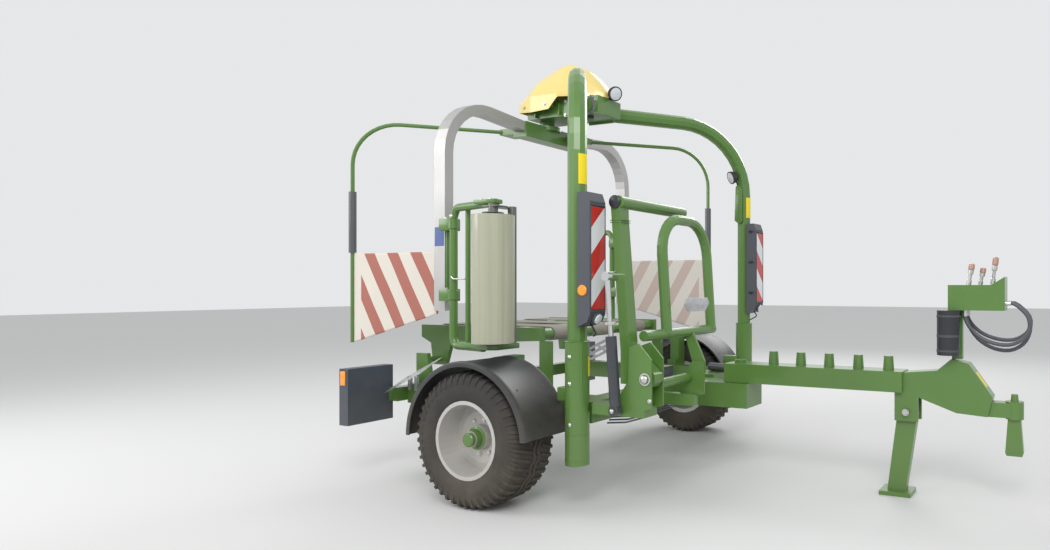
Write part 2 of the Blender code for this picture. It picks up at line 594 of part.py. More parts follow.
# ---------------------------------------------------------------- tilting table
table_pivot = (TABLE_PIVOT_X, 0, TABLE_PIVOT_Z)
TABLE_SIDE = [(-1.11, 0.90), (-1.11, 0.985), (-0.03, 0.985), (-0.03, 0.90), (-0.07, 0.90), (-0.83, 0.86),
              (-0.88, 0.71), (-1.00, 0.71), (-1.02, 0.86)]
sides_made = []
for side, sign in SIDES:
    y_low, y_high = sorted((sign * TABLE_PLATE_INNER, sign * TABLE_PLATE_OUTER))
    side_plate = plate("side", TABLE_SIDE, y_low, y_high)
    bore = rod("bore", (TABLE_PIVOT_X, sign * 0.6, TABLE_PIVOT_Z),
               (TABLE_PIVOT_X, sign * 0.75, TABLE_PIVOT_Z), TABLE_PIN_RADIUS + BORE_PLAY)
    sides_made.append(combine(side_plate, [bore], "DIFFERENCE"))
cross_end = TABLE_PLATE_INNER + 0.01
cross = rod("table_frame", (ROTOR_X, -cross_end, ROLLER_Z), (ROTOR_X, cross_end, ROLLER_Z), 0.025)
finish(combine(cross, sides_made), "green_paint", table_pivot)

for name, x in (("table_roller_rear", ROLLER_REAR_X), ("table_roller_front", ROLLER_FRONT_X)):
    roller = rod(name, (x, -TABLE_PLATE_INNER + GAP, ROLLER_Z), (x, TABLE_PLATE_INNER - GAP, ROLLER_Z),
                 ROLLER_RADIUS, sides=24)
    finish(roller, "green_paint", table_pivot)


def belt_outline(radius, steps=10):
    """Loop around both table rollers as (x, z) pairs."""
    front = [(ROLLER_FRONT_X + radius * math.cos(a), ROLLER_Z + radius * math.sin(a))
             for a in (math.pi * (step / steps - 0.5) for step in range(steps + 1))]
    back = [(ROLLER_REAR_X + radius * math.cos(a), ROLLER_Z + radius * math.sin(a))
            for a in (math.pi * (step / steps + 0.5) for step in range(steps + 1))]
    return front + back


inner_loop = (ROLLER_RADIUS + GAP) / math.cos(math.pi / 20)
for index in range(BELT_COUNT):
    y = (index - (BELT_COUNT - 1) / 2) * BELT_PITCH
    outer = plate("table_belt_%d" % (index + 1), belt_outline(inner_loop + BELT_THICKNESS),
                  y - BELT_WIDTH / 2, y + BELT_WIDTH / 2)
    inner = plate("inner", belt_outline(inner_loop), y - BELT_WIDTH, y + BELT_WIDTH)
    finish(combine(outer, [inner], "DIFFERENCE"), "belt", table_pivot)

# ---------------------------------------------------------------- loading fork
fork_pivot = (FORK_PIVOT_X, 0, FORK_PIVOT_Z)
half_depth = FORK_ARM_DEPTH / 2
foot_x, foot_z = FORK_ARM_FOOT
top_x, top_z = FORK_ARM_TOP
fork_side = [(foot_x - half_depth, foot_z - 0.18), (foot_x + half_depth, foot_z - 0.18), (0.99, 0.705),
             (1.03, 0.711), (1.055, 0.745), (1.05, 0.780), (foot_x + half_depth, foot_z + 0.02),
             (top_x + half_depth, top_z), (top_x - half_depth, top_z), (foot_x - half_depth, foot_z)]
fork_arm = plate("fork_arm", fork_side, *FORK_ARM_Y)
finger_x = top_x + 0.02
finger = rod("finger", (finger_x, FORK_ARM_Y[0], FINGER_HEIGHT), (finger_x, FINGER_END, FINGER_HEIGHT),
             FINGER_RADIUS)
arm_bore = rod("bore", (FORK_PIVOT_X, FORK_ARM_Y[0] - 0.05, FORK_PIVOT_Z),
               (FORK_PIVOT_X, FORK_ARM_Y[1] + 0.05, FORK_PIVOT_Z), FORK_PIN_RADIUS + BORE_PLAY)
combine(fork_arm, [finger])
finish(combine(fork_arm, [arm_bore], "DIFFERENCE"), "green_paint", fork_pivot)

bar = rod("fork_bow", (FORK_BAR_X, FORK_ARM_Y[1] + GAP, FORK_BAR_Z),
          (FORK_BAR_X, BOW_LEG_Y[1] + 0.04, FORK_BAR_Z), FORK_BAR_RADIUS)
bow_half = (BOW_LEG_Y[1] - BOW_LEG_Y[0]) / 2
bow_corners = [(FORK_BAR_X + 0.01, BOW_LEG_Y[0], FORK_BAR_Z), (FORK_BOW_TOP_X, BOW_LEG_Y[0], FORK_BOW_TOP),
               (FORK_BOW_TOP_X, BOW_LEG_Y[1], FORK_BOW_TOP), (FORK_BAR_X + 0.01, BOW_LEG_Y[1], FORK_BAR_Z)]
bow_loop = pipe("loop", rounded_path(bow_corners, bow_half - 0.06), FORK_BOW_RADIUS)
web_low = INNER_LUG_Y + CHEEK_THICKNESS + 0.001
WEB_OUTLINE = [(0.905, 0.97), (0.965, 0.97), (1.045, 0.80), (1.045, 0.725), (0.985, 0.715), (0.965, 0.78)]
web = plate("web", WEB_OUTLINE, web_low, web_low + 0.02)
web_bore = rod("bore", (FORK_PIVOT_X, web_low - 0.05, FORK_PIVOT_Z),
               (FORK_PIVOT_X, web_low + 0.07, FORK_PIVOT_Z), FORK_PIN_RADIUS + BORE_PLAY)
combine(web, [web_bore], "DIFFERENCE")
finish(combine(bar, [bow_loop, web]), "green_paint", fork_pivot)

lift_pivot = (LIFT_FOOT[0], LIFT_Y, LIFT_FOOT[1])
lift_head = Vector((LIFT_HEAD[0], LIFT_Y, LIFT_HEAD[1]))
lift_way = (lift_head - Vector(lift_pivot)).normalized()
barrel_end = Vector(lift_pivot) + lift_way * 0.40
barrel = rod("lift_barrel", Vector(lift_pivot) + lift_way * 0.02, barrel_end, LIFT_BARREL)
barrel_eye = rod("eye", (LIFT_FOOT[0], LIFT_Y - 0.025, LIFT_FOOT[1]),
                 (LIFT_FOOT[0], LIFT_Y + 0.025, LIFT_FOOT[1]), LIFT_BARREL)
eye_bore = rod("bore", (LIFT_FOOT[0], LIFT_Y - 0.05, LIFT_FOOT[1]),
               (LIFT_FOOT[0], LIFT_Y + 0.05, LIFT_FOOT[1]), LIFT_PIN_RADIUS + BORE_PLAY, sides=16)
combine(barrel, [barrel_eye])
finish(combine(barrel, [eye_bore], "DIFFERENCE"), "black_paint", lift_pivot)
lift_rod = rod("lift_rod", barrel_end + lift_way * GAP, lift_head, LIFT_ROD, sides=16)
rod_eye = rod("eye", (LIFT_HEAD[0], LIFT_Y - 0.02, LIFT_HEAD[1]),
              (LIFT_HEAD[0], FORK_ARM_Y[0] - GAP, LIFT_HEAD[1]), 0.026)
finish(combine(lift_rod, [rod_eye]), "steel", lift_pivot)

# ---------------------------------------------------------------- drawbar, swing cylinder, hitch, jack
drawbar_pivot = (DRAWBAR_PIVOT_X, 0, NOSE_TOP)
drawbar = box("drawbar", (DRAWBAR_REAR, -DRAWBAR_HALF, DRAWBAR_BOTTOM), (2.16, DRAWBAR_HALF, DRAWBAR_TOP))
HEAD_OUTLINE = [(2.12, 0.735), (2.12, 0.63), (2.24, 0.60), (2.47, 0.519), (2.644, 0.508), (2.673, 0.621),
                (2.538, 0.809), (2.44, 0.83), (2.36, 0.76)]
head_plate = plate("head", HEAD_OUTLINE, -HEAD_HALF, HEAD_HALF)
ears = [box("ear", (2.11, y - 0.008, 0.45), (2.25, y + 0.008, 0.66)) for y in (-0.052, 0.052)]
jack_pin = rod("jack_pin", (JACK_PIVOT[0], -0.075, JACK_PIVOT[1]), (JACK_PIVOT[0], 0.075, JACK_PIVOT[1]),
               JACK_PIN_RADIUS, sides=16)
lug = box("lug", (1.15, DRAWBAR_HALF - 0.02, LUG_BOTTOM), (1.25, 0.19, LUG_BOTTOM + 0.015))
pegs = [rod("peg", (x, 0, DRAWBAR_TOP - 0.01), (x, 0, DRAWBAR_TOP + 0.085), 0.035, 0.028, sides=16)
        for x in (1.30 + 0.19 * number for number in range(PEG_COUNT))]
swing_bore = rod("bore", (DRAWBAR_PIVOT_X, 0, 0.5), (DRAWBAR_PIVOT_X, 0, 0.9),
                 DRAWBAR_PIN_RADIUS + BORE_PLAY, sides=24)
combine(drawbar, [head_plate, *ears, jack_pin, lug, *pegs])
finish(combine(drawbar, [swing_bore], "DIFFERENCE"), "green_paint", drawbar_pivot)

cylinder_base = Vector((0.70, 0.30, 0.64 + GAP + 0.03))
cylinder_lug = Vector((1.20, 0.15, cylinder_base.z))
cylinder_way = (cylinder_lug - cylinder_base).normalized()
swing_end = cylinder_base + cylinder_way * 0.30
swing_barrel = rod("swing_barrel", cylinder_base - cylinder_way * 0.03, swing_end, 0.03)
swing_hole = rod("hole", swing_end - cylinder_way * (SWING_STROKE + 0.02), swing_end + cylinder_way * 0.01,
                 SWING_ROD_RADIUS + 0.0015, sides=16)
finish(combine(swing_barrel, [swing_hole], "DIFFERENCE"), "black_paint")
swing_rod = rod("swing_rod", swing_end - cylinder_way * 0.01, cylinder_lug, SWING_ROD_RADIUS, sides=16)
swing_eye = rod("eye", cylinder_lug - Vector((0, 0, 0.02)),
                (cylinder_lug.x, cylinder_lug.y, LUG_BOTTOM - GAP), 0.026)
finish(combine(swing_rod, [swing_eye]), "steel", tuple(cylinder_base))

hitch = rod("hitch", (HITCH_X, 0, 0.50), (HITCH_X, 0, 0.60), HITCH_RADIUS, sides=24)
shank = plate("shank", [(2.6446, 0.508), (HITCH_X, 0.508), (HITCH_X, 0.592), (2.6662, 0.592)], -0.045, 0.045)
CUP_OUTLINE = [(HITCH_X - 0.034, 0.51), (HITCH_X + 0.034, 0.51), (HITCH_X + 0.049, 0.31),
               (HITCH_X + 0.042, 0.292), (HITCH_X - 0.042, 0.292), (HITCH_X - 0.049, 0.31)]
cup = plate("cup", CUP_OUTLINE, -0.03, 0.03)
knob = rod("knob", (HITCH_X, 0, 0.59), (HITCH_X, 0, 0.64), 0.024, 0.018, sides=16)
finish(combine(hitch, [shank, cup, knob]), "green_paint", drawbar_pivot)

JACK_OUTLINE = [(JACK_PIVOT[0] - 0.055, 0.545), (JACK_PIVOT[0] + 0.055, 0.545), (JACK_PIVOT[0] + 0.06, 0.48),
                (JACK_FOOT_X + 0.055, 0.02), (JACK_FOOT_X - 0.055, 0.02), (JACK_PIVOT[0] - 0.06, 0.48)]
jack = plate("jack_leg", JACK_OUTLINE, -0.035, 0.035)
foot = box("foot", (JACK_FOOT_X - 0.095, -0.085, 0.0), (JACK_FOOT_X + 0.095, 0.085, 0.025))
jack_bore = rod("bore", (JACK_PIVOT[0], -0.1, JACK_PIVOT[1]), (JACK_PIVOT[0], 0.1, JACK_PIVOT[1]),
                JACK_PIN_RADIUS + BORE_PLAY, sides=16)
combine(jack, [foot])
finish(combine(jack, [jack_bore], "DIFFERENCE"), "green_paint", (JACK_PIVOT[0], 0, JACK_PIVOT[1]))

# ---------------------------------------------------------------- hose rack, canister and hoses
RACK_OUTLINE = [(2.426, RACK_BOTTOM), (2.739, RACK_BOTTOM), (2.739, 1.308), (2.665, 1.262), (2.426, 1.262)]
rack = plate("hose_rack", RACK_OUTLINE, -RACK_HALF, RACK_HALF)
rack_post = box("post", (2.44, -RACK_POST_HALF, 0.83 + GAP), (2.50, RACK_POST_HALF, RACK_BOTTOM + 0.02))
finish(combine(rack, [rack_post]), "green_paint", drawbar_pivot)
canister_y = -RACK_POST_HALF - GAP - CANISTER_RADIUS
canister = rod("document_canister", (CANISTER_X, canister_y, 0.857),
               (CANISTER_X, canister_y, RACK_BOTTOM - GAP), CANISTER_RADIUS, sides=24)
finish(canister, "black_plastic", drawbar_pivot)


def smooth_route(knots, spacing):
    """Points every so far along a Catmull-Rom curve through the knots."""
    knots = [Vector(knot) for knot in knots]
    ends = [knots[0] * 2 - knots[1], *knots, knots[-1] * 2 - knots[-2]]
    fine = []
    for a, b, c, d in zip(ends, ends[1:], ends[2:], ends[3:]):
        for step in range(20):
            t = step / 20
            fine.append(0.5 * (b * 2 + (c - a) * t + (a * 2 - b * 5 + c * 4 - d) * t ** 2
                               + (b * 3 - a - c * 3 + d) * t ** 3))
    fine.append(knots[-1])
    total = sum((after - before).length for before, after in zip(fine, fine[1:]))
    count = max(2, round(total / spacing))
    route = [fine[0]]
    walked = 0.0
    for before, after in zip(fine, fine[1:]):
        length = (after - before).length
        while len(route) < count and walked + length >= total * len(route) / count:
            share = (total * len(route) / count - walked) / length
            route.append(before.lerp(after, share))
        walked += length
    route.append(fine[-1])
    return route


# the slack loop of a hose, from the underside of the rack to its front face: (x, z) pairs
HOSE_EXIT = (2.520, 1.1157)
HOSE_LOOP = [(2.520, 1.100), (2.520, 1.070), (2.545, 1.020), (2.600, 0.965), (2.680, 0.930), (2.765, 0.925),
             (2.835, 0.960), (2.868, 1.020), (2.860, 1.085), (2.815, 1.135), (2.785, 1.157), (2.755, 1.158)]
HOSE_ENTRY = (2.7393, 1.158)
# hose number: (y, drop of the loop's lowest point)
HOSES = ((1, -0.055, 0.00), (2, 0.0, -0.035), (3, 0.055, 0.020))
for number, y, drop in HOSES:
    knots = []
    for x, z in HOSE_LOOP:
        share = max(0.0, min(1.0, (1.10 - z) / 0.17))
        knots.append((x, y, z + drop * share))
    slack = smooth_route(knots, HOSE_RADIUS * 5)
    route = [(HOSE_EXIT[0], y, HOSE_EXIT[1]), *slack, (HOSE_ENTRY[0], y, HOSE_ENTRY[1])]
    finish(pipe("hose_%d" % number, route, HOSE_RADIUS, 2), "hose_rubber", drawbar_pivot)

# ---------------------------------------------------------------- origin at the middle of the length
for obj in machine.objects:
    obj.location.x -= ORIGIN_X
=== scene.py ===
# %% [markdown]
# # A trailed round-bale wrapper, dressed for its portrait
#
# The machine arrives as plain solids with joints. This notebook gives every solid a
# finish, and adds the bolts, lamps, stripes, hoses and tyre treads that make it read as
# the real thing. All sizes are metres. +X points to the drawbar, +Y to the machine's
# left and +Z up, and the ground is at Z = 0.

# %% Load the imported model
import json
import math

import bmesh
import bpy
from mathutils import Matrix, Vector


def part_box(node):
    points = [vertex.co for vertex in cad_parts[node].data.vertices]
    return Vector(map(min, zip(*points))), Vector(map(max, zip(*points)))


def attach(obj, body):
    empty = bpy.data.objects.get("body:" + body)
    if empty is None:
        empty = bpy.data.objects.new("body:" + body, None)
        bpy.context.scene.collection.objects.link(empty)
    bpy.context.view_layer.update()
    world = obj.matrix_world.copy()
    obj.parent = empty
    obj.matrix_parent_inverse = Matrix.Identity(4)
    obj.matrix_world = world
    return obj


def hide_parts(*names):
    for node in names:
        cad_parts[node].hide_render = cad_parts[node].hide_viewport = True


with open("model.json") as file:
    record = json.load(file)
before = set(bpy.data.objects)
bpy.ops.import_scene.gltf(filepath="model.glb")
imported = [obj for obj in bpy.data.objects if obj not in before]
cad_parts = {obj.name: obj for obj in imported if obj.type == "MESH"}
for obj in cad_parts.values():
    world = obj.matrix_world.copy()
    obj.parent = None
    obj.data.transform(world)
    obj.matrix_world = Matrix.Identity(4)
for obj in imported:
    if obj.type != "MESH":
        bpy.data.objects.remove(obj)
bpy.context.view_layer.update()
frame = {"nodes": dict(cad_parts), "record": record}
nodes = frame["nodes"]

# %% [markdown]
# ## The camera
#
# A product shot of farm machinery is usually taken from about chest height with the
# camera held level, so that the uprights stay parallel. A lens shift then frames the
# machine without tilting the camera. Tilting would be simpler, but it makes the legs
# lean.

# %% Camera
CAMERA_AT = (2.441, -4.376, 1.253)
CAMERA_TURN = math.radians(24.73)

lens = bpy.data.cameras.new("camera")
lens.sensor_width = 36.0
lens.lens = 24.82
lens.shift_x = -0.2126
lens.shift_y = 0.011
lens.clip_end = 60.0
camera = bpy.data.objects.new("camera", lens)
camera.location = CAMERA_AT
camera.rotation_euler = (math.pi / 2, 0.0, CAMERA_TURN)
bpy.context.collection.objects.link(camera)
bpy.context.scene.camera = camera
print("camera at", CAMERA_AT)

# %% [markdown]
# ## Small helpers for meshes
#
# Nearly every piece below is one of five shapes: a block with softened edges, a flat
# outline given thickness, a bar between two points, a solid turned on an axis, or a
# tube along a path. A bmesh is the lightest way to build them, because the place of
# each vertex is written straight into the mesh and the object itself stays at the
# origin.

# %% From a bmesh to an object
def part(name, bm, finish, smooth=40):
    """Object at the origin from a bmesh, with a finish and softly shaded round faces."""
    bmesh.ops.recalc_face_normals(bm, faces=bm.faces)
    mesh = bpy.data.meshes.new(name)
    bm.to_mesh(mesh)
    bm.free()
    mesh.materials.append(finish)
    mesh.shade_smooth()
    mesh.set_sharp_from_angle(angle=math.radians(smooth))
    obj = bpy.data.objects.new(name, mesh)
    bpy.context.collection.objects.link(obj)
    return obj


def add_block(bm, low, high, bevel=0.0, segments=2):
    """Adds a block between two corners, its edges rounded by the bevel."""
    low = Vector(low)
    high = Vector(high)
    place = Matrix.Translation((low + high) / 2) @ Matrix.Diagonal((*(high - low), 1.0))
    made = bmesh.ops.create_cube(bm, size=1.0, matrix=place)
    if bevel:
        edges = list({edge for vert in made["verts"] for edge in vert.link_edges})
        bmesh.ops.bevel(bm, geom=edges, offset=bevel, segments=segments, affect="EDGES", profile=0.5)


def add_plate(bm, outline, low, high, plane="XZ", bevel=0.0):
    """Adds a flat outline with thickness from low to high across its plane."""
    place = {"XZ": lambda a, b, c: (a, c, b),
             "YZ": lambda a, b, c: (c, a, b),
             "XY": lambda a, b, c: (a, b, c)}[plane]
    face = bm.faces.new([bm.verts.new(place(a, b, low)) for a, b in outline])
    grown = bmesh.ops.extrude_face_region(bm, geom=[face])["geom"]
    moved = [item for item in grown if isinstance(item, bmesh.types.BMVert)]
    bmesh.ops.translate(bm, verts=moved, vec=Vector(place(0, 0, high - low)))
    if bevel:
        edges = list({edge for vert in moved + list(face.verts) for edge in vert.link_edges})
        bmesh.ops.bevel(bm, geom=edges, offset=bevel, segments=2, affect="EDGES", profile=0.5)


def frame_along(start, end):
    """Matrix that puts the Z axis from start to end, with its origin at start."""
    start = Vector(start)
    along = Vector(end) - start
    return Matrix.Translation(start) @ along.to_track_quat("Z", "Y").to_matrix().to_4x4()


def add_turned(bm, profile, start, end, sides=24, closed=False):
    """Adds a solid turned about the line from start to end; profile holds (radius, distance)."""
    place = frame_along(start, end)
    rings = []
    for radius, distance in profile:
        if radius < 1e-6:
            rings.append([bm.verts.new(place @ Vector((0, 0, distance)))])
            continue
        ring = []
        for k in range(sides):
            a = 2 * math.pi * k / sides
            ring.append(bm.verts.new(place @ Vector((radius * math.cos(a), radius * math.sin(a), distance))))
        rings.append(ring)
    pairs = list(zip(rings, rings[1:]))
    if closed:
        pairs.append((rings[-1], rings[0]))
    for ring, following in pairs:
        for k in range(sides):
            j = (k + 1) % sides
            if len(ring) == 1:
                bm.faces.new((ring[0], following[k], following[j]))
            elif len(following) == 1:
                bm.faces.new((ring[k], ring[j], following[0]))
            else:
                bm.faces.new((ring[k], ring[j], following[j], following[k]))


def add_rod(bm, start, end, radius, sides=20, bevel=0.002):
    """Adds a round bar whose two rims are chamfered."""
    length = (Vector(end) - Vector(start)).length
    rim = min(bevel, radius * 0.4, length * 0.4)
    add_turned(bm, [(0, 0), (radius - rim, 0), (radius, rim), (radius, length - rim),
                    (radius - rim, length), (0, length)], start, end, sides)


def add_tube(bm, points, radius, sides=12):
    """Adds a tube that follows the points, its ring carried along without twist."""
    points = [Vector(p) for p in points]
    normal = None
    rings = []
    for i, point in enumerate(points):
        along = (points[min(i + 1, len(points) - 1)] - points[max(i - 1, 0)]).normalized()
        if normal is None:
            normal = along.orthogonal().normalized()
        normal = (normal - along * normal.dot(along)).normalized()
        binormal = along.cross(normal)
        rings.append([bm.verts.new(point + radius * (math.cos(a) * normal + math.sin(a) * binormal))
                      for a in (2 * math.pi * k / sides for k in range(sides))])
    for ring, following in zip(rings, rings[1:]):
        for k in range(sides):
            j = (k + 1) % sides
            bm.faces.new((ring[k], ring[j], following[j], following[k]))
    bm.faces.new(rings[0][::-1])
    bm.faces.new(rings[-1])


def rounded(points, bend, steps=6):
    """The points of a path with arcs of the given radius at its inner corners."""
    points = [Vector(p) for p in points]
    path = [points[0]]
    for before, corner, after in zip(points, points[1:], points[2:]):
        back = (before - corner).normalized()
        ahead = (after - corner).normalized()
        half = back.angle(ahead) / 2
        if half > 1.55:
            path.append(corner)
            continue
        reach = min(bend / math.tan(half), (before - corner).length * 0.49, (after - corner).length * 0.49)
        radius = reach * math.tan(half)
        centre = corner + (back + ahead).normalized() * (radius / math.sin(half))
        first = corner + back * reach - centre
        last = corner + ahead * reach - centre
        for step in range(steps + 1):
            path.append(centre + first.slerp(last, step / steps).normalized() * radius)
    path.append(points[-1])
    return path


def add_bolt(bm, at, axis, size=0.010, kind="hex"):
    """Adds a bolt head: a hexagon on a washer, or a dome as on a coach bolt."""
    at = Vector(at)
    axis = Vector(axis).normalized()
    if kind == "dome":
        add_turned(bm, [(size, 0), (size, size * 0.15), (size * 0.85, size * 0.45),
                        (size * 0.5, size * 0.68), (0, size * 0.75)], at, at + axis, 16)
        return
    add_turned(bm, [(size * 1.25, 0), (size * 1.25, size * 0.2), (size * 0.9, size * 0.2)], at, at + axis, 16)
    add_turned(bm, [(size, size * 0.2), (size, size * 0.78), (size * 0.86, size * 0.9), (0, size * 0.9)],
               at, at + axis, 6)


print("helpers ready")

# %% [markdown]
# ## Shared shader effects
#
# Three effects turn up in many finishes, so each is built once as a node group: a slow
# drift of brightness, as every painted surface has, a fine bump, and dust that gathers
# towards the ground. A group keeps the finishes short and lets each one choose its own
# strength. The Principled shader itself stays in each material.

# %% Node group helpers
def new_group(name, inputs, outputs):
    """Shader node group with named sockets; returns the tree, its input and its output node."""
    tree = bpy.data.node_groups.new(name, "ShaderNodeTree")
    kinds = {"float": "NodeSocketFloat", "color": "NodeSocketColor", "vector": "NodeSocketVector"}
    for label, kind, value in inputs:
        socket = tree.interface.new_socket(label, in_out="INPUT", socket_type=kinds[kind])
        socket.default_value = value
    for label, kind in outputs:
        tree.interface.new_socket(label, in_out="OUTPUT", socket_type=kinds[kind])
    return tree, tree.nodes.new("NodeGroupInput"), tree.nodes.new("NodeGroupOutput")


def math_node(tree, operation, first, second=None, clamp=False):
    """Math node in a tree, fed by sockets or numbers; returns its output socket."""
    node = tree.nodes.new("ShaderNodeMath")
    node.operation = operation
    node.use_clamp = clamp
    for socket, value in zip(node.inputs, (first, second)):
        if value is None:
            continue
        if isinstance(value, (int, float)):
            socket.default_value = value
        else:
            tree.links.new(value, socket)
    return node.outputs[0]


def mix_colors(tree, share, first, second):
    """Mix of two colours; each argument is a socket or a value."""
    node = tree.nodes.new("ShaderNodeMix")
    node.data_type = "RGBA"
    for socket, value in ((node.inputs[0], share), (node.inputs[6], first), (node.inputs[7], second)):
        if isinstance(value, bpy.types.NodeSocket):
            tree.links.new(value, socket)
        elif isinstance(value, (int, float)):
            socket.default_value = value
        else:
            socket.default_value = (*value, 1.0)
    return node.outputs[2]


def object_place(tree):
    """Object coordinates of the surface."""
    return tree.nodes.new("ShaderNodeTexCoord").outputs["Object"]


def noise(tree, place, scale, detail=3.0, roughness=0.5):
    """Noise texture's Fac output."""
    node = tree.nodes.new("ShaderNodeTexNoise")
    node.inputs["Scale"].default_value = scale
    node.inputs["Detail"].default_value = detail
    node.inputs["Roughness"].default_value = roughness
    tree.links.new(place, node.inputs["Vector"])
    return node.outputs["Fac"]


# %% The drift and dust group
drift, drift_in, drift_out = new_group(
    "slow_drift",
    [("Color", "color", (0.5, 0.5, 0.5, 1.0)), ("Amount", "float", 0.12), ("Scale", "float", 3.0),
     ("Dust", "float", 0.2), ("Dust Height", "float", 0.9)],
    [("Color", "color"), ("Dust", "float")])
place = object_place(drift)
slow = drift.nodes.new("ShaderNodeTexNoise")
slow.inputs["Detail"].default_value = 4.0
drift.links.new(place, slow.inputs["Vector"])
drift.links.new(drift_in.outputs["Scale"], slow.inputs["Scale"])
swing = math_node(drift, "MULTIPLY", math_node(drift, "SUBTRACT", slow.outputs["Fac"], 0.5),
                  drift_in.outputs["Amount"])
gain = math_node(drift, "ADD", 1.0, math_node(drift, "MULTIPLY", swing, 2.0))
scaled = drift.nodes.new("ShaderNodeVectorMath")
scaled.operation = "SCALE"
drift.links.new(drift_in.outputs["Color"], scaled.inputs[0])
drift.links.new(gain, scaled.inputs["Scale"])
split = drift.nodes.new("ShaderNodeSeparateXYZ")
drift.links.new(place, split.inputs[0])
height = math_node(drift, "DIVIDE", split.outputs["Z"], drift_in.outputs["Dust Height"])
low_down = math_node(drift, "SUBTRACT", 1.0, height, clamp=True)
patches = math_node(drift, "MULTIPLY", noise(drift, place, 9.0, 5.0, 0.6), 1.4)
dust = math_node(drift, "MULTIPLY", math_node(drift, "MULTIPLY", low_down, patches),
                 drift_in.outputs["Dust"], clamp=True)
drift.links.new(mix_colors(drift, dust, scaled.outputs[0], (0.30, 0.25, 0.18)), drift_out.inputs["Color"])
drift.links.new(dust, drift_out.inputs["Dust"])
print("group:", drift.name)

# %% The fine bump group
grain, grain_in, grain_out = new_group(
    "fine_bump",
    [("Scale", "float", 300.0), ("Strength", "float", 0.1), ("Distance", "float", 0.001)],
    [("Normal", "vector"), ("Fac", "float")])
fine = grain.nodes.new("ShaderNodeTexNoise")
fine.inputs["Detail"].default_value = 3.0
grain.links.new(object_place(grain), fine.inputs["Vector"])
grain.links.new(grain_in.outputs["Scale"], fine.inputs["Scale"])
bump = grain.nodes.new("ShaderNodeBump")
grain.links.new(grain_in.outputs["Strength"], bump.inputs["Strength"])
grain.links.new(grain_in.outputs["Distance"], bump.inputs["Distance"])
grain.links.new(fine.outputs["Fac"], bump.inputs["Height"])
grain.links.new(bump.outputs["Normal"], grain_out.inputs["Normal"])
grain.links.new(fine.outputs["Fac"], grain_out.inputs["Fac"])
print("group:", grain.name)

# %% [markdown]
# ## Finishes
#
# One function makes the plain finishes: paint, plastic, rubber and metal differ only in
# colour, gloss and how coarse their bump is. Numbers that are the same all over, such as
# metallic, are set on the shader's own sockets.

# %% A finish from its numbers
def surface(name, color, roughness=0.4, metallic=0.0, coat=0.0, drift_amount=0.10, drift_scale=3.0,
            dust_amount=0.15, dust_height=0.9, bump_scale=250.0, bump_strength=0.06, bump_depth=0.0008,
            specular=0.5):
    """Principled material with drift, dust and a fine bump. Returns the material."""
    made = bpy.data.materials.new(name)
    made.use_nodes = True
    tree = made.node_tree
    shader = tree.nodes["Principled BSDF"]
    shader.inputs["Metallic"].default_value = metallic
    shader.inputs["Coat Weight"].default_value = coat
    shader.inputs["Coat Roughness"].default_value = 0.08
    shader.inputs["Specular IOR Level"].default_value = specular
    tint = tree.nodes.new("ShaderNodeGroup")
    tint.node_tree = drift
    tint.inputs["Color"].default_value = (*color, 1.0)
    tint.inputs["Amount"].default_value = drift_amount
    tint.inputs["Scale"].default_value = drift_scale
    tint.inputs["Dust"].default_value = dust_amount
    tint.inputs["Dust Height"].default_value = dust_height
    tree.links.new(tint.outputs["Color"], shader.inputs["Base Color"])
    rougher = math_node(tree, "ADD", roughness, math_node(tree, "MULTIPLY", tint.outputs["Dust"], 0.5))
    tree.links.new(rougher, shader.inputs["Roughness"])
    relief = tree.nodes.new("ShaderNodeGroup")
    relief.node_tree = grain
    relief.inputs["Scale"].default_value = bump_scale
    relief.inputs["Strength"].default_value = bump_strength
    relief.inputs["Distance"].default_value = bump_depth
    tree.links.new(relief.outputs["Normal"], shader.inputs["Normal"])
    return made


GREEN = (0.082, 0.182, 0.034)
green_paint = surface("green_paint", GREEN, 0.33, coat=0.35, drift_amount=0.14, drift_scale=2.2,
                      dust_amount=0.10, bump_scale=60.0, bump_strength=0.05)
black_paint = surface("black_paint", (0.035, 0.040, 0.050), 0.32, coat=0.3)
black_plastic = surface("black_plastic", (0.022, 0.024, 0.028), 0.36, drift_amount=0.20, drift_scale=5.0,
                        dust_amount=0.35, bump_scale=500.0, bump_strength=0.10)
grey_plastic = surface("grey_plastic", (0.060, 0.066, 0.078), 0.55, drift_amount=0.12, dust_amount=0.25,
                       bump_scale=700.0, bump_strength=0.25)
blue_black_plastic = surface("lamp_housing_plastic", (0.040, 0.052, 0.075), 0.42, drift_amount=0.2,
                             drift_scale=6.0, dust_amount=0.3, bump_scale=500.0, bump_strength=0.12)
rim_silver = surface("rim_silver", (0.52, 0.51, 0.49), 0.36, metallic=0.35, drift_amount=0.12,
                     dust_amount=0.25, bump_scale=300.0)
zinc = surface("zinc_bolts", (0.62, 0.62, 0.60), 0.30, metallic=0.9, drift_amount=0.2, drift_scale=40.0,
               bump_scale=500.0)
chrome = surface("chrome_rod", (0.72, 0.72, 0.73), 0.10, metallic=1.0, drift_amount=0.05, dust_amount=0.05,
                 bump_scale=900.0, bump_strength=0.02)
hose_rubber = surface("hose_rubber", (0.075, 0.080, 0.092), 0.48, drift_amount=0.25, drift_scale=30.0,
                      bump_scale=700.0, bump_strength=0.15)
amber = surface("amber_reflector", (0.85, 0.30, 0.02), 0.18, coat=0.6, drift_amount=0.15, drift_scale=90.0,
                bump_scale=260.0, bump_strength=0.5)
red_lens = surface("red_lens", (0.45, 0.01, 0.01), 0.15, coat=0.6, drift_amount=0.15, drift_scale=90.0,
                   bump_scale=260.0, bump_strength=0.5)
white_lens = surface("white_lens", (0.62, 0.65, 0.68), 0.15, coat=0.5, drift_amount=0.2, drift_scale=120.0,
                     bump_scale=260.0, bump_strength=0.5)
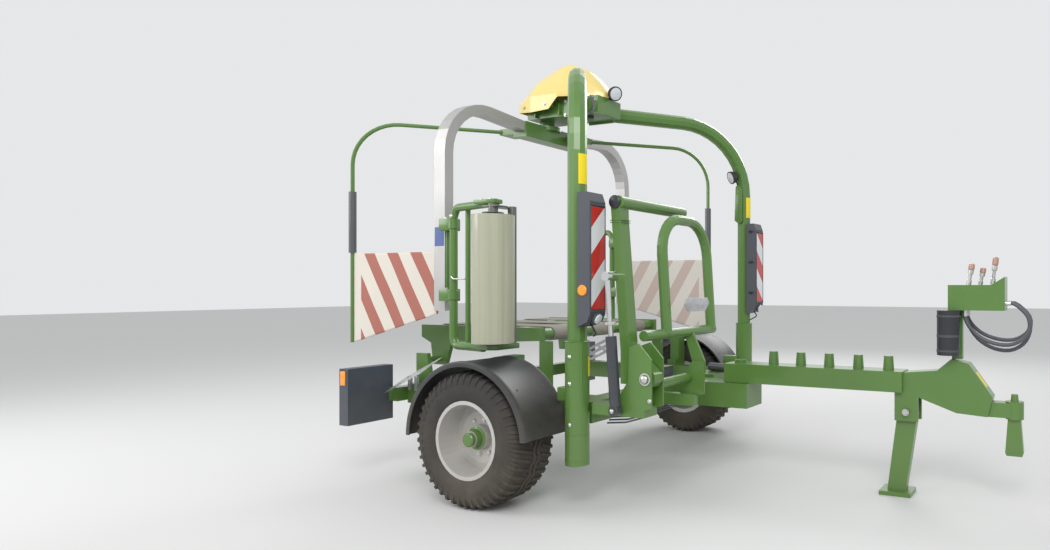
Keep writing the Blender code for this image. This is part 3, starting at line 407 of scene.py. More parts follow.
sticker = surface("yellow_sticker", (0.78, 0.62, 0.0), 0.40, drift_amount=0.06, dust_amount=0.0)
copper = surface("worn_coupler_cap", (0.50, 0.30, 0.24), 0.40, metallic=0.6, drift_amount=0.4,
                 drift_scale=60.0)
print("plain finishes:", len(bpy.data.materials))

# %% [markdown]
# ### Finishes with a pattern
#
# The aluminium arms show long brushing marks, galvanised steel shows flake-like
# crystals, the film roll shows faint bands along its length, and the belts have a
# woven face. Each starts as a plain finish, and its own pattern is mixed in.

# %% Pattern helpers
def scaled_place(tree, scale, turn=(0.0, 0.0, 0.0)):
    """Object coordinates through a Mapping node."""
    mapping = tree.nodes.new("ShaderNodeMapping")
    mapping.inputs["Scale"].default_value = scale
    mapping.inputs["Rotation"].default_value = turn
    tree.links.new(object_place(tree), mapping.inputs["Vector"])
    return mapping.outputs[0]


def recolor(made, share, color):
    """Mixes a colour over the material's base colour where share is 1."""
    tree = made.node_tree
    target = tree.nodes["Principled BSDF"].inputs["Base Color"]
    under = target.links[0].from_socket
    tree.links.new(mix_colors(tree, share, under, color), target)


def ramp(tree, value, low, high):
    """0 below low, 1 above high."""
    node = tree.nodes.new("ShaderNodeMapRange")
    node.inputs["From Min"].default_value = low
    node.inputs["From Max"].default_value = high
    tree.links.new(value, node.inputs["Value"])
    return node.outputs[0]


# %% Aluminium, galvanised steel, film and belt
aluminium = surface("brushed_aluminium", (0.44, 0.435, 0.43), 0.42, metallic=0.55, drift_amount=0.14,
                    drift_scale=5.0, dust_amount=0.0)
tree = aluminium.node_tree
streaks = noise(tree, scaled_place(tree, (160.0, 160.0, 5.0)), 1.0, 4.0, 0.6)
recolor(aluminium, math_node(tree, "MULTIPLY", ramp(tree, streaks, 0.45, 0.75), 0.45), (0.40, 0.37, 0.34))

galvanised = surface("galvanised_steel", (0.56, 0.57, 0.58), 0.34, metallic=0.75, dust_amount=0.1)
tree = galvanised.node_tree
flakes = tree.nodes.new("ShaderNodeTexVoronoi")
flakes.inputs["Scale"].default_value = 70.0
tree.links.new(object_place(tree), flakes.inputs["Vector"])
tone = tree.nodes.new("ShaderNodeSeparateColor")
tree.links.new(flakes.outputs["Color"], tone.inputs[0])
recolor(galvanised, math_node(tree, "MULTIPLY", tone.outputs[0], 0.5), (0.34, 0.35, 0.37))

film = surface("wound_film", (0.34, 0.345, 0.245), 0.30, coat=0.5, drift_amount=0.05, dust_amount=0.0,
               bump_scale=40.0, bump_strength=0.03)
tree = film.node_tree
bands = noise(tree, scaled_place(tree, (26.0, 26.0, 0.4)), 1.0, 3.0, 0.6)
recolor(film, math_node(tree, "MULTIPLY", ramp(tree, bands, 0.42, 0.68), 0.40), (0.47, 0.47, 0.38))

belt_weave = surface("belt_weave", (0.30, 0.28, 0.24), 0.75, drift_amount=0.2, drift_scale=8.0,
                     dust_amount=0.0, bump_scale=200.0)
tree = belt_weave.node_tree
weave = tree.nodes.new("ShaderNodeTexWave")
weave.bands_direction = "Y"
weave.inputs["Scale"].default_value = 55.0
weave.inputs["Distortion"].default_value = 1.5
tree.links.new(object_place(tree), weave.inputs["Vector"])
recolor(belt_weave, math_node(tree, "MULTIPLY", weave.outputs["Fac"], 0.35), (0.16, 0.15, 0.13))
print("patterned finishes ready")

# %% [markdown]
# ### Hood and grips
#
# The hood is pale yellow moulded plastic with a clear coat. The lower ends of the two
# safety bows carry grey foam sleeves. A sleeve is only 11 mm thicker than its tube and
# is already in the solid, so its colour is switched by height, not by a second mesh.

# %% Hood and bow finishes
yellow_hood = surface("yellow_hood", (0.74, 0.58, 0.19), 0.34, coat=0.5, drift_amount=0.08, dust_amount=0.0,
                      bump_scale=80.0, bump_strength=0.03)

GRIP_LOW, GRIP_HIGH = 1.4859, 1.9051
bow_paint = surface("bow_paint", GREEN, 0.33, coat=0.35, drift_amount=0.14, dust_amount=0.0)
tree = bow_paint.node_tree
split = tree.nodes.new("ShaderNodeSeparateXYZ")
tree.links.new(object_place(tree), split.inputs[0])
above = math_node(tree, "GREATER_THAN", split.outputs["Z"], GRIP_LOW)
below = math_node(tree, "LESS_THAN", split.outputs["Z"], GRIP_HIGH)
recolor(bow_paint, math_node(tree, "MULTIPLY", above, below), (0.075, 0.078, 0.085))
print("grips from", GRIP_LOW, "to", GRIP_HIGH)

# %% [markdown]
# ## Finishes on the solids
#
# Most solids already have the right shape, so they stay and only change finish. The
# record names a material slot for each, and a table from slot to finish dresses all of
# them in one pass.

# %% Dress the solids
BY_SLOT = {
    "green_paint": green_paint, "yellow_hood": yellow_hood, "bare_aluminium": aluminium,
    "black_plastic": black_plastic, "black_paint": black_paint, "grey_plastic": grey_plastic,
    "tyre_rubber": black_plastic, "silver_rim": rim_silver, "film": film, "flag_cloth": belt_weave,
    "belt": belt_weave, "hose_rubber": hose_rubber, "steel": chrome,
}
SPECIAL = {"safety_bow_right": bow_paint, "safety_bow_left": bow_paint,
           "lamp_carrier_right": blue_black_plastic, "lamp_carrier_left": blue_black_plastic}
for entry in frame["record"]["subparts"]:
    solid = nodes[entry["node"]]
    coat = SPECIAL.get(entry["node"], BY_SLOT[entry["material_slot"]])
    solid.data.materials.clear()
    solid.data.materials.append(coat)

# %% [markdown]
# ## The three hydraulic hoses
#
# They leave the underside of the rack, hang in a slack loop and return to its front
# face. A hose is one smooth tube: a curve object would do, but here it is a mesh tube
# that follows a Catmull-Rom path. The path repeats the solid's own route.

# %% Hose routes
HOSE_RADIUS = 0.011
HOSE_EXIT = (1.830, 1.1157)
HOSE_ENTRY = (2.0493, 1.158)
HOSE_LOOP = [(1.830, 1.100), (1.830, 1.070), (1.855, 1.020), (1.910, 0.965), (1.990, 0.930), (2.075, 0.925),
             (2.144, 0.960), (2.177, 1.020), (2.169, 1.085), (2.125, 1.135), (2.095, 1.157), (2.065, 1.158)]
HOSES = ((1, -0.055, 0.00), (2, 0.0, -0.035), (3, 0.055, 0.020))


def smooth_path(knots, spacing):
    """Evenly spaced points on a Catmull-Rom curve through the knots."""
    knots = [Vector(knot) for knot in knots]
    ends = [knots[0] * 2 - knots[1], *knots, knots[-1] * 2 - knots[-2]]
    dense = []
    for a, b, c, d in zip(ends, ends[1:], ends[2:], ends[3:]):
        for step in range(20):
            t = step / 20
            dense.append(0.5 * (b * 2 + (c - a) * t + (a * 2 - b * 5 + c * 4 - d) * t ** 2
                                + (b * 3 - a - c * 3 + d) * t ** 3))
    dense.append(knots[-1])
    total = sum((after - before).length for before, after in zip(dense, dense[1:]))
    count = max(2, round(total / spacing))
    path = [dense[0]]
    walked = 0.0
    for before, after in zip(dense, dense[1:]):
        length = (after - before).length
        while len(path) < count and walked + length >= total * len(path) / count:
            path.append(before.lerp(after, (total * len(path) / count - walked) / length))
        walked += length
    path.append(dense[-1])
    return path


for number, y, drop in HOSES:
    knots = []
    for x, z in HOSE_LOOP:
        share = max(0.0, min(1.0, (1.10 - z) / 0.17))
        knots.append((x, y, z + drop * share))
    first = Vector((HOSE_EXIT[0], y, HOSE_EXIT[1]))
    last = Vector((HOSE_ENTRY[0], y, HOSE_ENTRY[1]))
    path = [first, *smooth_path(knots, HOSE_RADIUS * 2.5), last]
    bm = bmesh.new()
    add_tube(bm, path, HOSE_RADIUS, 16)
    hose = part("hose_%d_rubber" % number, bm, hose_rubber, 60)
    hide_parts("hose_%d" % number)
    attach(hose, "drawbar")
    bm = bmesh.new()
    add_turned(bm, [(0.0135, 0), (0.0135, 0.030), (0.0122, 0.034), (0.0122, 0)],
               first, path[1] + (path[1] - first), 16, closed=True)
    add_turned(bm, [(0.0135, 0), (0.0135, 0.026), (0.0122, 0.030), (0.0122, 0)],
               last, last + Vector((1, 0, 0)), 16, closed=True)
    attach(part("hose_%d_ferrules" % number, bm, zinc), "drawbar")

# %% [markdown]
# ## Wheels
#
# A farm implement tyre has slanted shoulder lugs and a zigzag rib in the middle. The
# carcass is turned like any tyre. One lug is modelled once, with its top following the
# tyre's profile, and Geometry Nodes repeat it around the rim.

# %% A Geometry Nodes tree that repeats a piece around an axle
def ring_tree(name, finish):
    """Geometry Nodes tree: copies of an object around the Y axis through a centre."""
    tree = bpy.data.node_groups.new(name, "GeometryNodeTree")
    face = tree.interface
    face.new_socket("Geometry", in_out="INPUT", socket_type="NodeSocketGeometry")
    face.new_socket("Part", in_out="INPUT", socket_type="NodeSocketObject")
    face.new_socket("Count", in_out="INPUT", socket_type="NodeSocketInt").default_value = 8
    face.new_socket("Turn", in_out="INPUT", socket_type="NodeSocketFloat")
    face.new_socket("Centre", in_out="INPUT", socket_type="NodeSocketVector")
    face.new_socket("Geometry", in_out="OUTPUT", socket_type="NodeSocketGeometry")
    inside = tree.nodes.new("NodeGroupInput")
    outside = tree.nodes.new("NodeGroupOutput")
    line = tree.nodes.new("GeometryNodeMeshLine")
    line.inputs["Offset"].default_value = (0, 0, 0)
    tree.links.new(inside.outputs["Count"], line.inputs["Count"])
    tree.links.new(inside.outputs["Centre"], line.inputs["Start Location"])
    info = tree.nodes.new("GeometryNodeObjectInfo")
    tree.links.new(inside.outputs["Part"], info.inputs["Object"])
    step = math_node(tree, "DIVIDE", 2 * math.pi, inside.outputs["Count"])
    index = tree.nodes.new("GeometryNodeInputIndex")
    angle = math_node(tree, "ADD", math_node(tree, "MULTIPLY", step, index.outputs[0]), inside.outputs["Turn"])
    turn = tree.nodes.new("ShaderNodeCombineXYZ")
    tree.links.new(angle, turn.inputs["Y"])
    scatter = tree.nodes.new("GeometryNodeInstanceOnPoints")
    tree.links.new(line.outputs[0], scatter.inputs["Points"])
    tree.links.new(info.outputs["Geometry"], scatter.inputs["Instance"])
    tree.links.new(turn.outputs[0], scatter.inputs["Rotation"])
    real = tree.nodes.new("GeometryNodeRealizeInstances")
    tree.links.new(scatter.outputs[0], real.inputs[0])
    painted = tree.nodes.new("GeometryNodeSetMaterial")
    painted.inputs["Material"].default_value = finish
    tree.links.new(real.outputs[0], painted.inputs["Geometry"])
    tree.links.new(painted.outputs[0], outside.inputs[0])
    return tree


def bake(name, tree, settings, finish, smooth=40):
    """Object at the origin with the tree's result as a plain mesh; settings are by socket name."""
    host = bpy.data.objects.new(name + "_host", bpy.data.meshes.new(name + "_host"))
    bpy.context.collection.objects.link(host)
    modifier = host.modifiers.new("repeat", "NODES")
    modifier.node_group = tree
    for item in tree.interface.items_tree:
        if item.item_type == "SOCKET" and item.in_out == "INPUT" and item.name in settings:
            modifier[item.identifier] = settings[item.name]
    bpy.context.view_layer.update()
    mesh = bpy.data.meshes.new_from_object(host.evaluated_get(bpy.context.evaluated_depsgraph_get()))
    bpy.data.objects.remove(host)
    mesh.name = name
    mesh.materials.clear()
    mesh.materials.append(finish)
    mesh.shade_smooth()
    mesh.set_sharp_from_angle(angle=math.radians(smooth))
    obj = bpy.data.objects.new(name, mesh)
    bpy.context.collection.objects.link(obj)
    print(name, "faces", len(mesh.polygons))
    return obj


tyre_rubber = surface("tyre_rubber", (0.020, 0.020, 0.021), 0.72, drift_amount=0.25, drift_scale=12.0,
                      dust_amount=0.30, dust_height=0.9, bump_scale=350.0, bump_strength=0.25, specular=0.35)
ring = ring_tree("ring_of_pieces", tyre_rubber)

# %% Tyres
CARCASS = [(0.2100, 0.130), (0.222, 0.147), (0.240, 0.155), (0.262, 0.158), (0.290, 0.1625), (0.297, 0.1600),
           (0.325, 0.1610), (0.352, 0.1520), (0.368, 0.138), (0.376, 0.110), (0.379, 0.060), (0.3795, 0.0)]
LUG = [(0.040, 0.3890, 0.000), (0.075, 0.3885, 0.010), (0.118, 0.3870, 0.022), (0.149, 0.3715, 0.028),
       (0.1630, 0.3330, 0.030)]
LUG_HALF = 0.0105
LUG_COUNT = 46
RIB_STEPS = 138

for side, sign in (("right", -1), ("left", 1)):
    low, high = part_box("tyre_" + side)
    centre = (Vector(low) + Vector(high)) / 2
    bm = bmesh.new()
    profile = CARCASS + [(radius, -offset) for radius, offset in CARCASS[-2::-1]]
    add_turned(bm, profile, centre, centre + Vector((0, 1, 0)), 96, closed=True)
    for rib_y in (-0.017, 0.017):
        corners = []
        for k in range(RIB_STEPS):
            a = 2 * math.pi * k / RIB_STEPS
            weave_y = rib_y + (0.007 if (k // 3) % 2 else -0.007)
            ring_points = []
            for radius, dy in ((0.3775, -0.013), (0.3895, -0.010), (0.3895, 0.010), (0.3775, 0.013)):
                ring_points.append(bm.verts.new(centre + Vector((radius * math.sin(a), weave_y + dy,
                                                                 radius * math.cos(a)))))
            corners.append(ring_points)
        for before, after in zip(corners, corners[1:] + corners[:1]):
            for i in range(4):
                j = (i + 1) % 4
                bm.faces.new((before[i], before[j], after[j], after[i]))
    tyre = part("tyre_%s_carcass" % side, bm, tyre_rubber, 35)
    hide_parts("tyre_" + side)
    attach(tyre, "wheel_" + side)
    for edge_sign in (1, -1):
        bm = bmesh.new()
        rows = []
        for offset, radius, lean in LUG:
            row = []
            for dx, dr in ((-LUG_HALF, -0.016), (-LUG_HALF * 0.8, 0.0), (LUG_HALF * 0.8, 0.0), (LUG_HALF, -0.016)):
                row.append(bm.verts.new((dx + lean * edge_sign, offset * edge_sign, radius + dr)))
            rows.append(row)
        for before, after in zip(rows, rows[1:]):
            for i in range(4):
                j = (i + 1) % 4
                bm.faces.new((before[i], before[j], after[j], after[i]))
        bm.faces.new(rows[0])
        bm.faces.new(rows[-1])
        lug = part("lug", bm, tyre_rubber)
        turn = 0.0 if edge_sign > 0 else math.pi / LUG_COUNT
        lugs = bake("tyre_%s_lugs_%s" % (side, "outer" if edge_sign == sign else "inner"), ring,
                    {"Part": lug, "Count": LUG_COUNT, "Turn": turn, "Centre": centre}, tyre_rubber, 30)
        bpy.data.objects.remove(lug)
        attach(lugs, "wheel_" + side)

# %% [markdown]
# ### Hubs, wheel bolts and valve
#
# The dished rim is already a turned solid. What is missing is the green hub that shows
# through its middle, a ring of wheel bolts and the valve in the outer dish.

# %% Hubs
BOLT_CIRCLE = 0.102
WHEEL_BOLTS = 8
for side, sign in (("right", -1), ("left", 1)):
    low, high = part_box("tyre_" + side)
    centre = (Vector(low) + Vector(high)) / 2
    out = Vector((0, sign, 0))
    bm = bmesh.new()
    add_turned(bm, [(0.0, 0.1055), (0.034, 0.1055), (0.040, 0.1095), (0.040, 0.128), (0.034, 0.134), (0.0, 0.136)],
               centre, centre + out, 32)
    add_turned(bm, [(0.0705, 0.020), (0.0705, 0.050), (0.0670, 0.0640), (0.052, 0.0690), (0.0505, 0.0670),
                    (0.0465, 0.1040), (0.0455, 0.104), (0.0485, 0.0655), (0.0655, 0.0600), (0.0702, 0.020)],
               centre, centre + out, 40, closed=True)
    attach(part("hub_" + side, bm, green_paint), "wheel_" + side)
    bm = bmesh.new()
    add_bolt(bm, (0, sign * 0.0201, BOLT_CIRCLE), out, 0.0125)
    bolt = part("wheel_bolt", bm, zinc)
    bolts = bake("wheel_bolts_" + side, ring, {"Part": bolt, "Count": WHEEL_BOLTS, "Turn": 0.2, "Centre": centre},
                 zinc)
    bpy.data.objects.remove(bolt)
    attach(bolts, "wheel_" + side)
    bm = bmesh.new()
    foot = centre + Vector((0.128, sign * 0.017, -0.128))
    add_turned(bm, [(0, 0), (0.006, 0), (0.006, 0.020), (0.004, 0.024), (0.004, 0.045), (0, 0.045)],
               foot, foot + out * 0.8 + Vector((-0.3, 0, 0.3)), 10)
    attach(part("tyre_valve_" + side, bm, black_plastic), "wheel_" + side)
print("hubs done")

# %% [markdown]
# ## Warning panels
#
# Wide trailers carry a red and white striped panel at each front corner. The stripes are
# 45 degree bands that lean towards the machine's middle, so the left panel mirrors the
# right. They are computed from Y and Z, because that stays crisp at any distance.

# %% Stripe finish
STRIPE_PERIOD = 0.288
STRIPE_START = 2.303


def warning_stripes(name, lean):
    """Red and white bands that rise towards +Y for lean 1, or towards -Y for lean -1."""
    made = surface(name, (0.66, 0.68, 0.70), 0.32, coat=0.4, drift_amount=0.05, dust_amount=0.05,
                   bump_scale=420.0, bump_strength=0.2)
    tree = made.node_tree
    split = tree.nodes.new("ShaderNodeSeparateXYZ")
    tree.links.new(object_place(tree), split.inputs[0])
    across = math_node(tree, "MULTIPLY", split.outputs["Y"], -lean)
    along = math_node(tree, "SUBTRACT", math_node(tree, "ADD", split.outputs["Z"], across), STRIPE_START)
    phase = math_node(tree, "FRACT", math_node(tree, "DIVIDE", along, STRIPE_PERIOD))
    recolor(made, math_node(tree, "GREATER_THAN", phase, 0.5), (0.48, 0.020, 0.018))
    return made


stripes = {"right": warning_stripes("warning_stripes_right", 1.0),
           "left": warning_stripes("warning_stripes_left", -1.0)}

# %% Panels with lamp and reflector
for side, sign in (("right", -1), ("left", 1)):
    low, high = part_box("warning_panel_" + side)
    front = high[0]
    inner = min(abs(low[1]), abs(high[1]))
    outer = max(abs(low[1]), abs(high[1]))
    y_low, y_high = sorted((sign * (inner + 0.008), sign * (outer - 0.008)))
    bm = bmesh.new()
    add_block(bm, (front + 0.0003, y_low, 1.128), (front + 0.0022, y_high, 1.690), 0.0006, 1)
    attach(part("stripe_board_" + side, bm, stripes[side]), "chassis")
    bm = bmesh.new()
    for z in (1.113, 1.697):
        add_block(bm, (front + 0.0003, y_low - 0.006, z), (front + 0.005, y_high + 0.006, z + 0.008), 0.0015, 1)
    for y in (y_low - 0.006, y_high):
        add_block(bm, (front + 0.0003, y, 1.122), (front + 0.005, y + 0.006, 1.696), 0.0015, 1)
    lamp_y = sign * (inner + outer) / 2
    lamp_z = 1.082
    axis = Vector((0.93, 0, -0.37))
    seat = Vector((front - 0.010, lamp_y, lamp_z - 0.004))
    add_turned(bm, [(0, 0), (0.036, 0), (0.036, 0.010), (0.031, 0.014), (0, 0.014)], seat, seat + axis, 28)
    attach(part("panel_trim_" + side, bm, grey_plastic), "chassis")
    bm = bmesh.new()
    add_turned(bm, [(0, 0.0142), (0.029, 0.0142), (0.028, 0.020), (0.018, 0.025), (0, 0.027)],
               seat, seat + axis, 28)
    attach(part("position_lamp_" + side, bm, white_lens), "chassis")
    bm = bmesh.new()
    spot = Vector((-0.030, sign * outer, 1.232))
    add_turned(bm, [(0, 0.0003), (0.030, 0.0003), (0.030, 0.004), (0.026, 0.008), (0, 0.009)],
               spot, spot + Vector((0, sign, 0)), 32)
    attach(part("side_reflector_" + side, bm, amber), "chassis")
    bm = bmesh.new()
    for z in (1.20, 1.45, 1.70):
        latch_y = sign * (inner - 0.011)
        add_block(bm, (front - 0.060, latch_y - 0.010, z), (front - 0.030, latch_y + 0.010, z + 0.012), 0.002, 1)
    add_tube(bm, rounded([(front - 0.05, lamp_y, 1.050), (front - 0.02, lamp_y, 1.010),
                          (front - 0.05, lamp_y - sign * 0.05, 0.985), (-0.05, sign * 1.045, 0.975)], 0.02), 0.005, 8)
    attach(part("panel_cable_" + side, bm, black_plastic), "chassis")
print("warning panels done")

# %% [markdown]
# ## Portal legs
#
# The outer tube is painted and clean, apart from a blank yellow label plate wrapped
# round it, two thin weld rims near the foot and three coach bolts. The label is a strip
# of a cylinder a fraction wider than the tube.

# %% Labels, rims and bolts on the legs
LEG_X = -0.12
LEG_Y = 1.10
LEG_RADIUS = 0.0535
SLEEVE_RADIUS = 0.0675


def add_wrap(bm, x, y, radius, angles, low_z, high_z, steps=10):
    """Adds a thin curved plate on an upright tube between two angles in degrees."""
    first, last = (math.radians(a) for a in angles)
    rings = []
    for k in range(steps + 1):
        a = first + (last - first) * k / steps
        ring_points = []
        for r, z in ((radius, low_z), (radius, high_z), (radius + 0.0006, high_z), (radius + 0.0006, low_z)):
            ring_points.append(bm.verts.new((x + r * math.cos(a), y + r * math.sin(a), z)))
        rings.append(ring_points)
    for before, after in zip(rings, rings[1:]):
        for i in range(4):
            j = (i + 1) % 4
            bm.faces.new((before[i], before[j], after[j], after[i]))
    bm.faces.new(rings[0])
    bm.faces.new(rings[-1])


for side, sign in (("right", -1), ("left", 1)):
    y = sign * LEG_Y
    bm = bmesh.new()
    add_wrap(bm, LEG_X, y, LEG_RADIUS + 0.0004, (-46, 34), 1.822, 1.990)
    add_wrap(bm, LEG_X, y, SLEEVE_RADIUS + 0.0004, (8, 40), 0.754, 0.863)
    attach(part("blank_labels_" + side, bm, sticker), "chassis")
    bm = bmesh.new()
    for z, grow, tall in ((0.430, 0.0012, 0.006), (0.284, 0.0010, 0.006), (0.944, 0.0025, 0.007)):
        add_turned(bm, [(SLEEVE_RADIUS - 0.002, z), (SLEEVE_RADIUS + grow, z + tall * 0.3),
                        (SLEEVE_RADIUS + grow, z + tall * 0.7), (SLEEVE_RADIUS - 0.002, z + tall)],
                   (LEG_X, y, 0), (LEG_X, y, 1), 40, closed=True)
    plate_y = sorted((y - sign * 0.075, y - sign * 0.020))
    add_block(bm, (LEG_X - 0.16, plate_y[0], 0.602), (LEG_X - 0.03, plate_y[1], 0.68), 0.006)
    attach(part("leg_rims_" + side, bm, green_paint), "chassis")
    bm = bmesh.new()
    for z in (0.865, 0.716, 0.490):
        add_bolt(bm, (LEG_X, y + sign * (SLEEVE_RADIUS - 0.001), z), (0, sign, 0), 0.013, "dome")
    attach(part("leg_bolts_" + side, bm, zinc), "chassis")
print("leg fittings done")

# %% [markdown]
# ## Work lights
#
# Two round work lights look at the bale: one on the front of the hood, one high on the
# left leg. Each is a short dished pot with a clear lens and a bent bracket.

# %% Work lights
def work_light(name, at, axis, body, bracket):
    """Round lamp that looks along the axis, with a bracket tube along the given points."""
    at = Vector(at)
    axis = Vector(axis).normalized()
    bm = bmesh.new()
    add_turned(bm, [(0, -0.055), (0.020, -0.055), (0.040, -0.035), (0.050, -0.005), (0.053, 0.0), (0.053, 0.010),
                    (0.047, 0.012), (0.047, 0.006), (0, 0.006)], at, at + axis, 28)
    for k in range(5):
        radius = 0.030 + 0.004 * k
        add_turned(bm, [(radius - 0.004, -0.047 + 0.009 * k), (radius + 0.005, -0.045 + 0.009 * k),
                        (radius + 0.005, -0.042 + 0.009 * k), (radius - 0.004, -0.040 + 0.009 * k)],
                   at, at + axis, 28, closed=True)
    add_tube(bm, rounded(bracket, 0.02), 0.007, 10)
    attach(part(name + "_pot", bm, black_plastic), body)
    bm = bmesh.new()
    add_turned(bm, [(0, 0.0064), (0.0465, 0.0064), (0.044, 0.011), (0.028, 0.016), (0, 0.018)], at, at + axis, 28)
    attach(part(name + "_lens", bm, white_lens), body)


work_light("hood_light", (-0.640, 0.0, 2.655), (0.86, -0.35, -0.35), "chassis",
           [(-0.690, 0.0, 2.622), (-0.665, 0.0, 2.610), (-0.655, 0.01, 2.640)])
work_light("leg_light", (-0.180, 0.985, 2.150), (-0.55, -0.75, -0.35), "chassis",
           [(-0.150, 1.060, 2.060), (-0.150, 1.030, 2.110), (-0.168, 1.000, 2.135)])
bm = bmesh.new()
add_plate(bm, [(-0.175, 1.80), (-0.135, 1.77), (-0.105, 1.79), (-0.105, 2.05), (-0.135, 2.10), (-0.165, 2.08)],
          1.030, 1.040, bevel=0.002)
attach(part("leg_light_plate", bm, green_paint), "chassis")
print("work lights done")

# %% [markdown]
# ## Hood
#
# The moulded hood is sharp-edged as a solid. Here the same rows of points make a shell
# whose edges get a Bevel modifier, so the light rolls over them as on a moulding. The
# modifier is applied on the way, and so is a Solidify that gives the shell its wall.

# %% Hood shell
HOOD_ROWS = [(-1.389, 0.169, 2.551, 2.600, 0.120, 2.620), (-1.230, 0.219, 2.531, 2.650, 0.110, 2.800),
             (-1.070, 0.219, 2.541, 2.650, 0.080, 2.885), (-0.990, 0.219, 2.623, 2.650, 0.070, 2.8995),
             (-0.850, 0.169, 2.623, 2.645, 0.070, 2.840), (-0.750, 0.099, 2.623, 2.640, 0.050, 2.740),
             (-0.691, 0.059, 2.623, 2.635, 0.040, 2.660)]
HOOD_WALL = 0.0055

bm = bmesh.new()
rows = []
for x, skirt, skirt_z, crease_z, roof, roof_z in HOOD_ROWS:
    belly = (skirt * 0.45 + roof * 0.55 + 0.012, crease_z * 0.42 + roof_z * 0.58)
    crown = roof_z + min(0.0, 2.8995 - roof_z)
    half_ring = [(skirt, skirt_z), (skirt, crease_z), belly, (roof, crown - 0.004), (roof * 0.35, crown)]
    ring_points = [(x, -y, z) for y, z in half_ring] + [(x, y, z) for y, z in half_ring[::-1]]
    rows.append([bm.verts.new(point) for point in ring_points])
for before, after in zip(rows, rows[1:]):
    for k in range(len(before) - 1):
        bm.faces.new((before[k], before[k + 1], after[k + 1], after[k]))
bm.faces.new(rows[0])
bm.faces.new(rows[-1])
bmesh.ops.recalc_face_normals(bm, faces=bm.faces)
shell = part("hood_shell", bm, yellow_hood, 30)
smooth_edges = shell.modifiers.new("round", "BEVEL")
smooth_edges.width = 0.012
smooth_edges.segments = 3
smooth_edges.limit_method = "ANGLE"
smooth_edges.angle_limit = math.radians(14)
wall = shell.modifiers.new("wall", "SOLIDIFY")
wall.thickness = HOOD_WALL
wall.offset = -1.0
bpy.context.view_layer.update()
mesh = bpy.data.meshes.new_from_object(shell.evaluated_get(bpy.context.evaluated_depsgraph_get()))
shell.modifiers.clear()
shell.data = mesh
mesh.shade_smooth()
mesh.set_sharp_from_angle(angle=math.radians(40))
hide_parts("hood")
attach(shell, "chassis")

bm = bmesh.new()
for sign in (-1, 1):
    add_bolt(bm, (-1.106, sign * 0.2185, 2.578), (0, sign, 0), 0.011)
    add_bolt(bm, (-0.792, sign * 0.132, 2.6325), (0.55, sign * 0.83, 0), 0.008)
    add_bolt(bm, (-1.315, sign * 0.1965, 2.578), (-0.3, sign * 0.95, 0), 0.009)
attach(part("hood_bolts", bm, zinc), "chassis")
print("hood faces", len(mesh.polygons))

# %% [markdown]
# ## Drive head
#
# Under the hood sits a green casting with bolted flanges to the two portal tubes, a
# black hydraulic motor and a few short hoses.

# %% Drive head fittings
bm = bmesh.new()
for side, sign in (("right", -1), ("left", 1)):
    for x in (-0.965, -0.775):
        for z in (2.500, 2.600):
            add_bolt(bm, (x, sign * 0.1552, z), (0, sign, 0), 0.009)
for x in (-1.30, -1.10, -0.88, -0.72):
    for sign in (-1, 1):
        add_bolt(bm, (x, sign * 0.1402, 2.585), (0, sign, 0), 0.008)
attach(part("drive_head_bolts", bm, zinc), "chassis")
bm = bmesh.new()
add_rod(bm, (-0.84, -0.05, 2.476), (-0.84, -0.05, 2.4995), 0.040, 24, 0.004)
add_rod(bm, (-0.84, -0.141, 2.545), (-0.84, -0.200, 2.545), 0.030, 24, 0.004)
add_tube(bm, smooth_path([(-0.84, -0.195, 2.545), (-0.82, -0.230, 2.530), (-0.76, -0.235, 2.485),
                          (-0.70, -0.215, 2.478), (-0.60, -0.30, 2.488), (-0.45, -0.52, 2.494)], 0.02), 0.008, 8)
add_tube(bm, smooth_path([(-0.86, -0.190, 2.535), (-0.86, -0.235, 2.505), (-0.80, -0.245, 2.480),
                          (-0.70, -0.235, 2.474), (-0.58, -0.34, 2.484), (-0.45, -0.54, 2.490)], 0.02), 0.008, 8)
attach(part("drive_motor", bm, black_paint), "chassis")
bm = bmesh.new()
add_plate(bm, [(-1.335, 2.40), (-1.335, 2.49), (-1.19, 2.49), (-1.19, 2.40)], -0.1405, -0.1465, bevel=0.0015)
for x in (-1.24, -1.02, -0.86):
    add_plate(bm, [(x - 0.006, 2.505), (x + 0.006, 2.505), (x + 0.006, 2.585), (x - 0.006, 2.585)],
              -0.165, -0.1403, bevel=0.001)
bmesh.ops.delete(bm, geom=[v for v in bm.verts if v.co.z < 2.4995], context="VERTS")
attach(part("drive_head_ribs", bm, green_paint), "chassis")
print("drive head done")

# %% [markdown]
# ## Striped flags
#
# A red and white cloth hangs from each safety bow, so that nobody walks into the
# turning arms. A flag is sewn from coated cloth with a plain hem sleeve round the bow,
# and here it is one thin sheet with long soft folds. The two flags are the same piece
# turned half a turn about the rotor, so the stripes are driven by the sheet's own UV.

# %% Flag cloth finish
FLAG_TOP = 1.478
FLAG_PLANE = -0.987
FLAG_BACK = -2.104
FLAG_FRONT = -1.309
FLAG_CORNER = 0.18
FLAG_DROPS = (0.398, 0.561, 0.608)
ROTOR_X = -1.26


